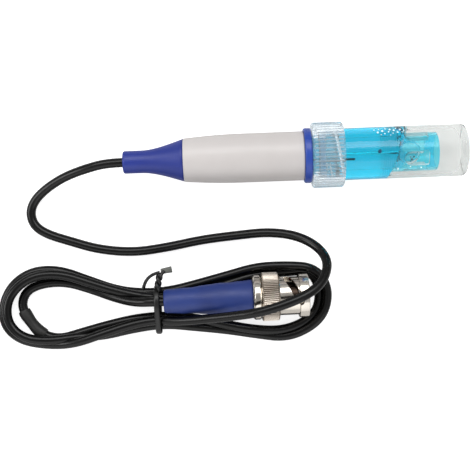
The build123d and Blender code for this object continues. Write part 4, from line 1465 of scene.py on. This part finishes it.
    def make_thread(self, finishes: Finishes) -> None:
        """Wind the two ridges of the thread round the vial's neck.

        Args:
            finishes: the materials of the object.
        """
        bm = bmesh.new()
        first = math.radians(self.thread_start)
        half = self.thread_width / 2
        root = self.neck_radius - self.ridge_sink
        flat = half * self.ridge_flat
        shoulder, drop = half * self.ridge_shoulder[0], self.ridge_shoulder[1]
        x_first = self.x_rim + half
        turns = (self.x_neck_end - half - x_first) / self.thread_lead
        for start in (0.0, math.pi):
            rings = []
            for step in range(self.thread_steps + 1):
                share = step / self.thread_steps
                turn = start + first + turns * 2 * math.pi * share
                middle = x_first + turns * self.thread_lead * share
                fade = min(1.0, share * self.ridge_fades, (1 - share) * self.ridge_fades)
                crest = self.neck_radius - self.ridge_sink / 2 + (self.crest_radius - self.neck_radius) * fade
                section = (
                    (-half, root), (-shoulder, crest - drop), (-flat, crest),
                    (flat, crest), (shoulder, crest - drop), (half, root),
                )
                places = [self.spindle.place(middle + off, out, turn) for off, out in section]
                rings.append([bm.verts.new(place) for place in places])
            for back, front in zip(rings, rings[1:]):
                for side in range(6):
                    other = (side + 1) % 6
                    bm.faces.new((back[side], front[side], front[other], back[other]))
            bm.faces.new(rings[0])
            bm.faces.new(rings[-1][::-1])
        bmesh.ops.recalc_face_normals(bm, faces=bm.faces)
        thread = finished("vial_thread", bm)
        dress(thread, finishes.thread, "vial_plastic", Body.VIAL)
        # Some sides of the ridges take an opaque white finish: painted highlights.
        thread.data.materials.append(finishes.thread_flank_painted_highlight)
        wound = self.thread_steps * 6
        for face in thread.data.polygons:
            ridge, place = divmod(face.index, wound + 2)  # each ridge has two ends besides
            if place < wound and place % 6 in self.painted_highlight_sides[ridge]:
                face.material_index = 1


# Plug


@dataclass
class Plug:
    """The bayonet plug: knurled coupling nut, bright back ring, contacts and blue sleeve."""

    middle: Triple = (-8.5, -41.4, 7.3346)
    yaw: float = 0.4
    dip: float = 2.0
    knurl_radius: float = 7.25
    knurl_back: float = -2.55
    knurl_front: float = 2.55
    knurl_edge: tuple[Pair, ...] = ((0.0, 0.4), (0.12, 0.2), (0.4, 0.0))  # distance from the end, and inset
    teeth: int = 78
    tooth_depth: float = 0.26
    tooth_steepness: float = 2.2
    knurl_margin: float = 0.1  # how far from the knurl's ends and crests its grooves are told apart
    barrel_radius: float = 5.7
    bore_radius: float = 4.9
    flange_bore: float = 4.6
    flange: float = 1.4
    nut_front: float = 11.35
    rim_radius: float = 6.6
    rim_width: float = 2.8
    slot_width: float = 2.3
    slot_turn: float = 100.0
    slot_lead: float = 16.3
    slot_tail: float = 4.0
    slot_phase: float = 12.0
    slot_cut: Pair = (3.6, 8.6)  # from and to which radius the slots' cutters reach
    entry_cut: float = 3.9  # radius at which the entry grooves' cutters start
    entry_depth: float = 0.45
    entry_crown: float = 0.1
    back_ring: Pair = (-5.15, -2.75)
    back_ring_radius: float = 6.7
    back_ring_bevels: Pair = (0.5, 0.4)
    journal_radius: float = 4.4
    sleeve_back: float = -31.65
    sleeve_front: float = -5.15
    sleeve_tail_radius: float = 3.4
    sleeve_mouth_radius: float = 5.3
    sleeve_tail_edge: tuple[Pair, ...] = ((0.0, 0.45), (0.12, 0.15), (0.45, 0.0))
    sleeve_mouth_edge: tuple[Pair, ...] = ((0.4, 0.0), (0.12, 0.15), (0.0, 0.4))
    ferrule_radius: float = 3.3
    ferrule_length: float = 7.6
    cable_radius: float = 1.4
    spring: Pair = (-0.6, 0.85)
    spring_radius: float = 4.65
    spring_strip: Pair = (0.28, 0.16)
    spring_turn: float = 348.0
    spring_waves: int = 3
    spring_solid: float = 0.45

    def __post_init__(self) -> None:
        """Set up the plug's own axis."""
        dip, yaw = math.radians(self.dip), math.radians(self.yaw)
        forward = Vector((math.cos(dip) * math.cos(yaw), math.cos(dip) * math.sin(yaw), -math.sin(dip)))
        side = Vector((math.sin(yaw), -math.cos(yaw), 0))
        self.spindle = Spindle(Vector(self.middle), forward, side.cross(forward))

    def make(self, finishes: Finishes) -> None:
        """Build and dress every piece of the plug.

        Args:
            finishes: the materials of the object.
        """
        self.make_nut(finishes)
        self.make_back_ring(finishes)
        self.make_spring(finishes)
        self.make_sleeve(finishes)
        for node, finish in (
            # The plug body takes a dark metal: painted shade in the slots.
            ("plug_body", finishes.inner_metal_painted_shade),
            ("insulator", finishes.dielectric),
            ("contact_pin", finishes.gold),
            ("plug_gasket", finishes.gasket),
            ("thrust_washer", finishes.spring),
            ("crimp_ferrule", finishes.nickel),
            ("plug_cable_end", finishes.cable),
        ):
            dress_node(node, finish)

    def knurled(self, inset: float) -> Callable[[float], float]:
        """Return the knurl's radius as a function of the turn, drawn in by inset.

        Args:
            inset: how far the radius is drawn in, in millimetres.

        Returns:
            The radius as a function of the turn.
        """

        def radius(turn: float) -> float:
            """Return the radius at a turn.

            Args:
                turn: turn about the axis in radians.

            Returns:
                The radius in millimetres.
            """
            share = (turn * self.teeth / (2 * math.pi)) % 1.0
            groove = self.tooth_depth * max(0.0, 1 - abs(share - 0.5) * self.tooth_steepness)
            return min(self.knurl_radius - groove, self.knurl_radius - inset)

        return radius

    def make_nut(self, finishes: Finishes) -> None:
        """Build the coupling nut and mill its two winding slots.

        Args:
            finishes: the materials of the object.
        """
        back, front = self.knurl_back, self.knurl_front
        rim_back = self.nut_front - self.rim_width
        outline: list[tuple[float, Radius]] = [(back, self.flange_bore)]
        outline += [(back + along, self.knurled(inset)) for along, inset in self.knurl_edge]
        outline += [(front - along, self.knurled(inset)) for along, inset in self.knurl_edge[::-1]]
        outline += eased([
            (front, self.knurl_radius - 0.4, 0.0), (front, self.barrel_radius, 0.25),
            (rim_back, self.barrel_radius, 0.25), (rim_back, self.rim_radius, 0.15),
            (self.nut_front, self.rim_radius, 0.3), (self.nut_front, self.bore_radius, 0.15),
            (back + self.flange, self.bore_radius, 0.0), (back + self.flange, self.flange_bore, 0.0),
        ], 4)[1:]
        nut = turned("bayonet_nut", self.spindle, outline, self.teeth * 6, closed=True)
        cut(nut, self.slot_cutters())
        dress(nut, finishes.nickel, "nickel", Body.NUT, "coupling_nut")
        margin = self.knurl_margin
        crest = self.knurl_radius - margin

        def on_knurl(place: Vector, low: float, high: float) -> bool:
            """Return whether a place lies on the knurl between two radii."""
            along, out = self.spindle.measure(place)
            return back + margin < along < front - margin and low < out < high

        accent(nut, finishes.knurl, lambda place: on_knurl(place, crest, self.knurl_radius + 1))
        # Painted shade: the knurl's grooves take a darker nickel.
        accent(nut, finishes.knurl_groove_painted_shade, lambda place: on_knurl(place, self.barrel_radius + 0.5, crest))

    def slot_cutters(self) -> list[Piece]:
        """Return the shapes that the slots and their entry grooves take out of the nut.

        Returns:
            The cutters.
        """
        cutters = []
        rise = self.slot_lead * self.slot_turn / 360
        half = self.slot_width / 2
        slant = math.atan2(rise, math.radians(self.slot_turn) * self.barrel_radius)
        ahead, aside = math.cos(slant) * half, math.sin(slant) * half / self.barrel_radius
        groove = self.bore_radius + self.entry_depth
        swing = half / self.bore_radius

        def rounded(turn: float, along: float, first: float) -> list[Pair]:
            """Return the round end of a slot, as (turn, along), from an angle in radians."""
            bend = arc((0.0, 0.0), half, first, first - math.pi, 12)[1:-1]
            return [(turn + across / self.barrel_radius, along + up) for across, up in bend]

        for side in (0.0, math.pi):
            spine = []
            for step in range(49):
                share = step / 48
                turn = side + math.radians(self.slot_phase - self.slot_turn * (1 - share))
                spine.append((turn, self.slot_tail + rise * share))
            outline = [(turn - aside, along + ahead) for turn, along in spine]
            outline += rounded(*spine[-1], math.pi / 2 + slant)
            outline += [(turn + aside, along - ahead) for turn, along in reversed(spine)]
            outline += rounded(*spine[0], -math.pi / 2 + slant)
            near, far = (
                [self.spindle.place(along, radius, turn) for turn, along in outline] for radius in self.slot_cut
            )
            count = len(outline)
            strips = [(left, left + 1, count - 2 - left, count - 1 - left) for left in range(count // 2 - 1)]
            cutters.append(prism("slot_cutter", near, far, strips))
            mouth = side + math.radians(self.slot_phase)
            corners = (
                (mouth - swing, self.entry_cut), (mouth + swing, self.entry_cut), (mouth + swing, groove),
                (mouth, groove + self.entry_crown), (mouth - swing, groove),
            )
            near, far = (
                [self.spindle.place(along, radius, turn) for turn, radius in corners]
                for along in (self.slot_tail + rise, self.nut_front + 1.0)
            )
            cutters.append(prism("entry_cutter", near, far))
        return cutters

    def make_back_ring(self, finishes: Finishes) -> None:
        """Build the bright ring behind the knurl.

        Args:
            finishes: the materials of the object.
        """
        back, front = self.back_ring
        inner, outer = self.journal_radius + GAP, self.back_ring_radius
        tail, mouth = self.back_ring_bevels
        corners = [
            (back, inner, 0.0), (back, outer - tail, 0.15), (back + tail, outer, 0.3),
            (front - mouth, outer, 0.2), (front, outer - mouth, 0.1), (front, inner, 0.0),
        ]
        ring = turned("bright_ring", self.spindle, eased(corners, 4), 128, closed=True)
        dress(ring, finishes.nickel, "nickel", Body.ELECTRODE, "plug_back_nut")

    def make_spring(self, finishes: Finishes) -> None:
        """Build the split wave spring.

        Args:
            finishes: the materials of the object.
        """
        back, front = self.spring
        width, thickness = self.spring_strip
        swing = (front - back - thickness) / 2
        path = []
        for step in range(109):
            turn = math.radians(self.spring_turn) * step / 108
            along = (back + front) / 2 + swing * math.cos(self.spring_waves * turn)
            path.append(self.spindle.place(along, self.spring_radius, turn))
        corners = ((-1, -1), (1, -1), (1, 1), (-1, 1))
        section = [(a * thickness / 2 * MM, b * width / 2 * MM) for a, b in corners]
        spring = swept("spring_ring", path, section, self.spindle.up)
        dress(spring, finishes.spring, "spring_steel", Body.ELECTRODE, "wave_spring")
        tuple(self.spindle.place(front, 0.0))
        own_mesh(spring)

    def make_sleeve(self, finishes: Finishes) -> None:
        """Build the blue sleeve, slightly uneven as soft tubing is.

        Args:
            finishes: the materials of the object.
        """
        run = self.sleeve_front - self.sleeve_back
        rise = self.sleeve_mouth_radius - self.sleeve_tail_radius
        bore = self.cable_radius + GAP

        def uneven(base: float, share: float) -> Callable[[float], float]:
            """Return a radius that wanders a little round the sleeve.

            Args:
                base: mean radius in millimetres.
                share: share of the sleeve's length.

            Returns:
                The radius as a function of the turn.
            """

            def radius(turn: float) -> float:
                """Return the radius at a turn."""
                return base + 0.05 * math.sin(2 * turn + 7 * share) + 0.04 * math.sin(3 * turn - 11 * share)

            return radius

        outline: list[tuple[float, Radius]] = [(self.sleeve_back, bore)]
        for along, inset in self.sleeve_tail_edge:
            outline.append((self.sleeve_back + along, uneven(self.sleeve_tail_radius - inset, 0.0)))
        for step in range(1, 30):
            share = step / 30
            wave = 0.09 * math.sin(share * 14) + 0.08 * math.sin(share * 31 + 1)
            base = self.sleeve_tail_radius + rise * share + wave * 0.6
            outline.append((self.sleeve_back + run * share, uneven(base, share)))
        for along, inset in self.sleeve_mouth_edge:
            outline.append((self.sleeve_front - along, uneven(self.sleeve_mouth_radius - inset, 1.0)))
        x_ferrule = self.sleeve_front - self.ferrule_length
        outline += [(self.sleeve_front, self.ferrule_radius), (x_ferrule, self.ferrule_radius)]
        outline += [(x_ferrule, bore)]
        sleeve = turned("plug_sleeve", self.spindle, outline, 96, closed=True)
        dress(sleeve, finishes.sleeve, "sleeve_rubber", Body.ELECTRODE, "connector_boot")


# Studio


@dataclass
class Studio:
    """White bench, soft lights and the camera at the photograph's viewpoint."""

    target: Pair = (-18.25, -22.67)
    height: float = 290.0
    turn: float = -2.16
    view_angle: float = 27.86
    bench_size: float = 2400.0
    glow_seen: float = 0.8
    glow_through: float = 0.68
    bench_level: float = 0.62
    lamp_aim: Triple = (0.0, -20.0, 0.0)
    sky_below: float = 0.10
    sky: tuple[Pair, ...] = ((0.45, 0.48), (0.84, 0.56), (0.93, 0.4))  # height, from 0 to 1, and light there
    sky_above: float = 0.26

    def make_camera(self) -> None:
        """Put the camera straight above the object."""
        camera = placed("camera", bpy.data.cameras.new("camera"))
        camera.location = Vector((self.target[0], self.target[1], self.height)) * MM
        camera.rotation_euler = (0.0, 0.0, math.radians(self.turn))
        camera.data.sensor_fit = "HORIZONTAL"
        camera.data.angle = math.radians(self.view_angle)
        camera.data.clip_start = 0.01
        bpy.context.scene.camera = camera

    def make_bench(self) -> None:
        """Lay the white bench, which shows white wherever no shadow falls."""
        bm = bmesh.new()
        bmesh.ops.create_grid(bm, x_segments=1, y_segments=1, size=self.bench_size / 2 * MM)
        bench = finished("bench", bm)
        material = bpy.data.materials.new("bench_white")
        material.use_nodes = True
        tree = material.node_tree
        shader = tree.nodes["Principled BSDF"]
        path = tree.nodes.new("ShaderNodeLightPath")
        seen = worked_out(tree, "MULTIPLY", path.outputs["Is Camera Ray"], self.glow_seen)
        glow = worked_out(tree, "MULTIPLY_ADD", path.outputs["Is Transmission Ray"], self.glow_through, seen)
        fill_in(shader, {
            "Base Color": grey(self.bench_level), "Roughness": 0.9, "Specular IOR Level": 0.0,
            "Emission Color": grey(1.0), "Emission Strength": glow,
        })
        bench.data.materials.append(material)

    def make_lights(self) -> None:
        """Hang the softboxes round the bench."""
        for name, place, size, power in (
            ("softbox_back", (0.0, 330.0, 470.0), (900.0, 270.0), 2.3),
            ("softbox_front", (-40.0, -760.0, 330.0), (1500.0, 900.0), 3.4),
            ("softbox_left", (-620.0, 60.0, 380.0), (300.0, 300.0), 1.2),
        ):
            light = bpy.data.lights.new(name, "AREA")
            light.shape = "RECTANGLE"
            light.size, light.size_y = size[0] * MM, size[1] * MM
            light.energy = power
            lamp = placed(name, light)
            lamp.location = Vector(place) * MM
            aim = Vector(self.lamp_aim) * MM - lamp.location
            lamp.rotation_euler = aim.to_track_quat("-Z", "Y").to_euler()

    def make_world(self) -> None:
        """Set the world's plain light, which is white where it is seen or shines through."""
        world = bpy.data.worlds.new("studio")
        bpy.context.scene.world = world
        world.use_nodes = True
        tree = world.node_tree
        background = tree.nodes["Background"]
        place = tree.nodes.new("ShaderNodeTexCoord")
        split = fill_in(tree.nodes.new("ShaderNodeSeparateXYZ"), {"Vector": place.outputs["Generated"]})
        ramp = fill_in(tree.nodes.new("ShaderNodeValToRGB"), {"Fac": split.outputs["Z"]})
        stops = ramp.color_ramp.elements
        stops[0].color = grey(self.sky_below)
        stops[-1].color = grey(self.sky_above)
        for height, level in self.sky:
            stops.new(height).color = grey(level)
        path = tree.nodes.new("ShaderNodeLightPath")
        seen = worked_out(tree, "MAXIMUM", path.outputs["Is Camera Ray"], path.outputs["Is Transmission Ray"])
        light = mixed(tree, seen, ramp.outputs["Color"], grey(1.0))
        fill_in(background, {"Color": light, "Strength": 1.0})

    def make(self) -> None:
        """Build the studio."""
        self.make_bench()
        self.make_lights()
        self.make_world()
        bpy.context.scene.view_settings.view_transform = "Standard"


def main() -> None:
    """Build the studio and the object, piece by piece."""
    logging.basicConfig(level=logging.INFO, format="%(name)s: %(message)s")
    studio = Studio()
    studio.make_camera()
    finishes = Finishes()
    plug = Plug()
    Cable().make(finishes, plug)
    TwistTie().make(finishes)
    Electrode().make(finishes)
    Bottle().make(finishes)
    plug.make(finishes)
    studio.make()


if __name__ == "__main__":
    main()
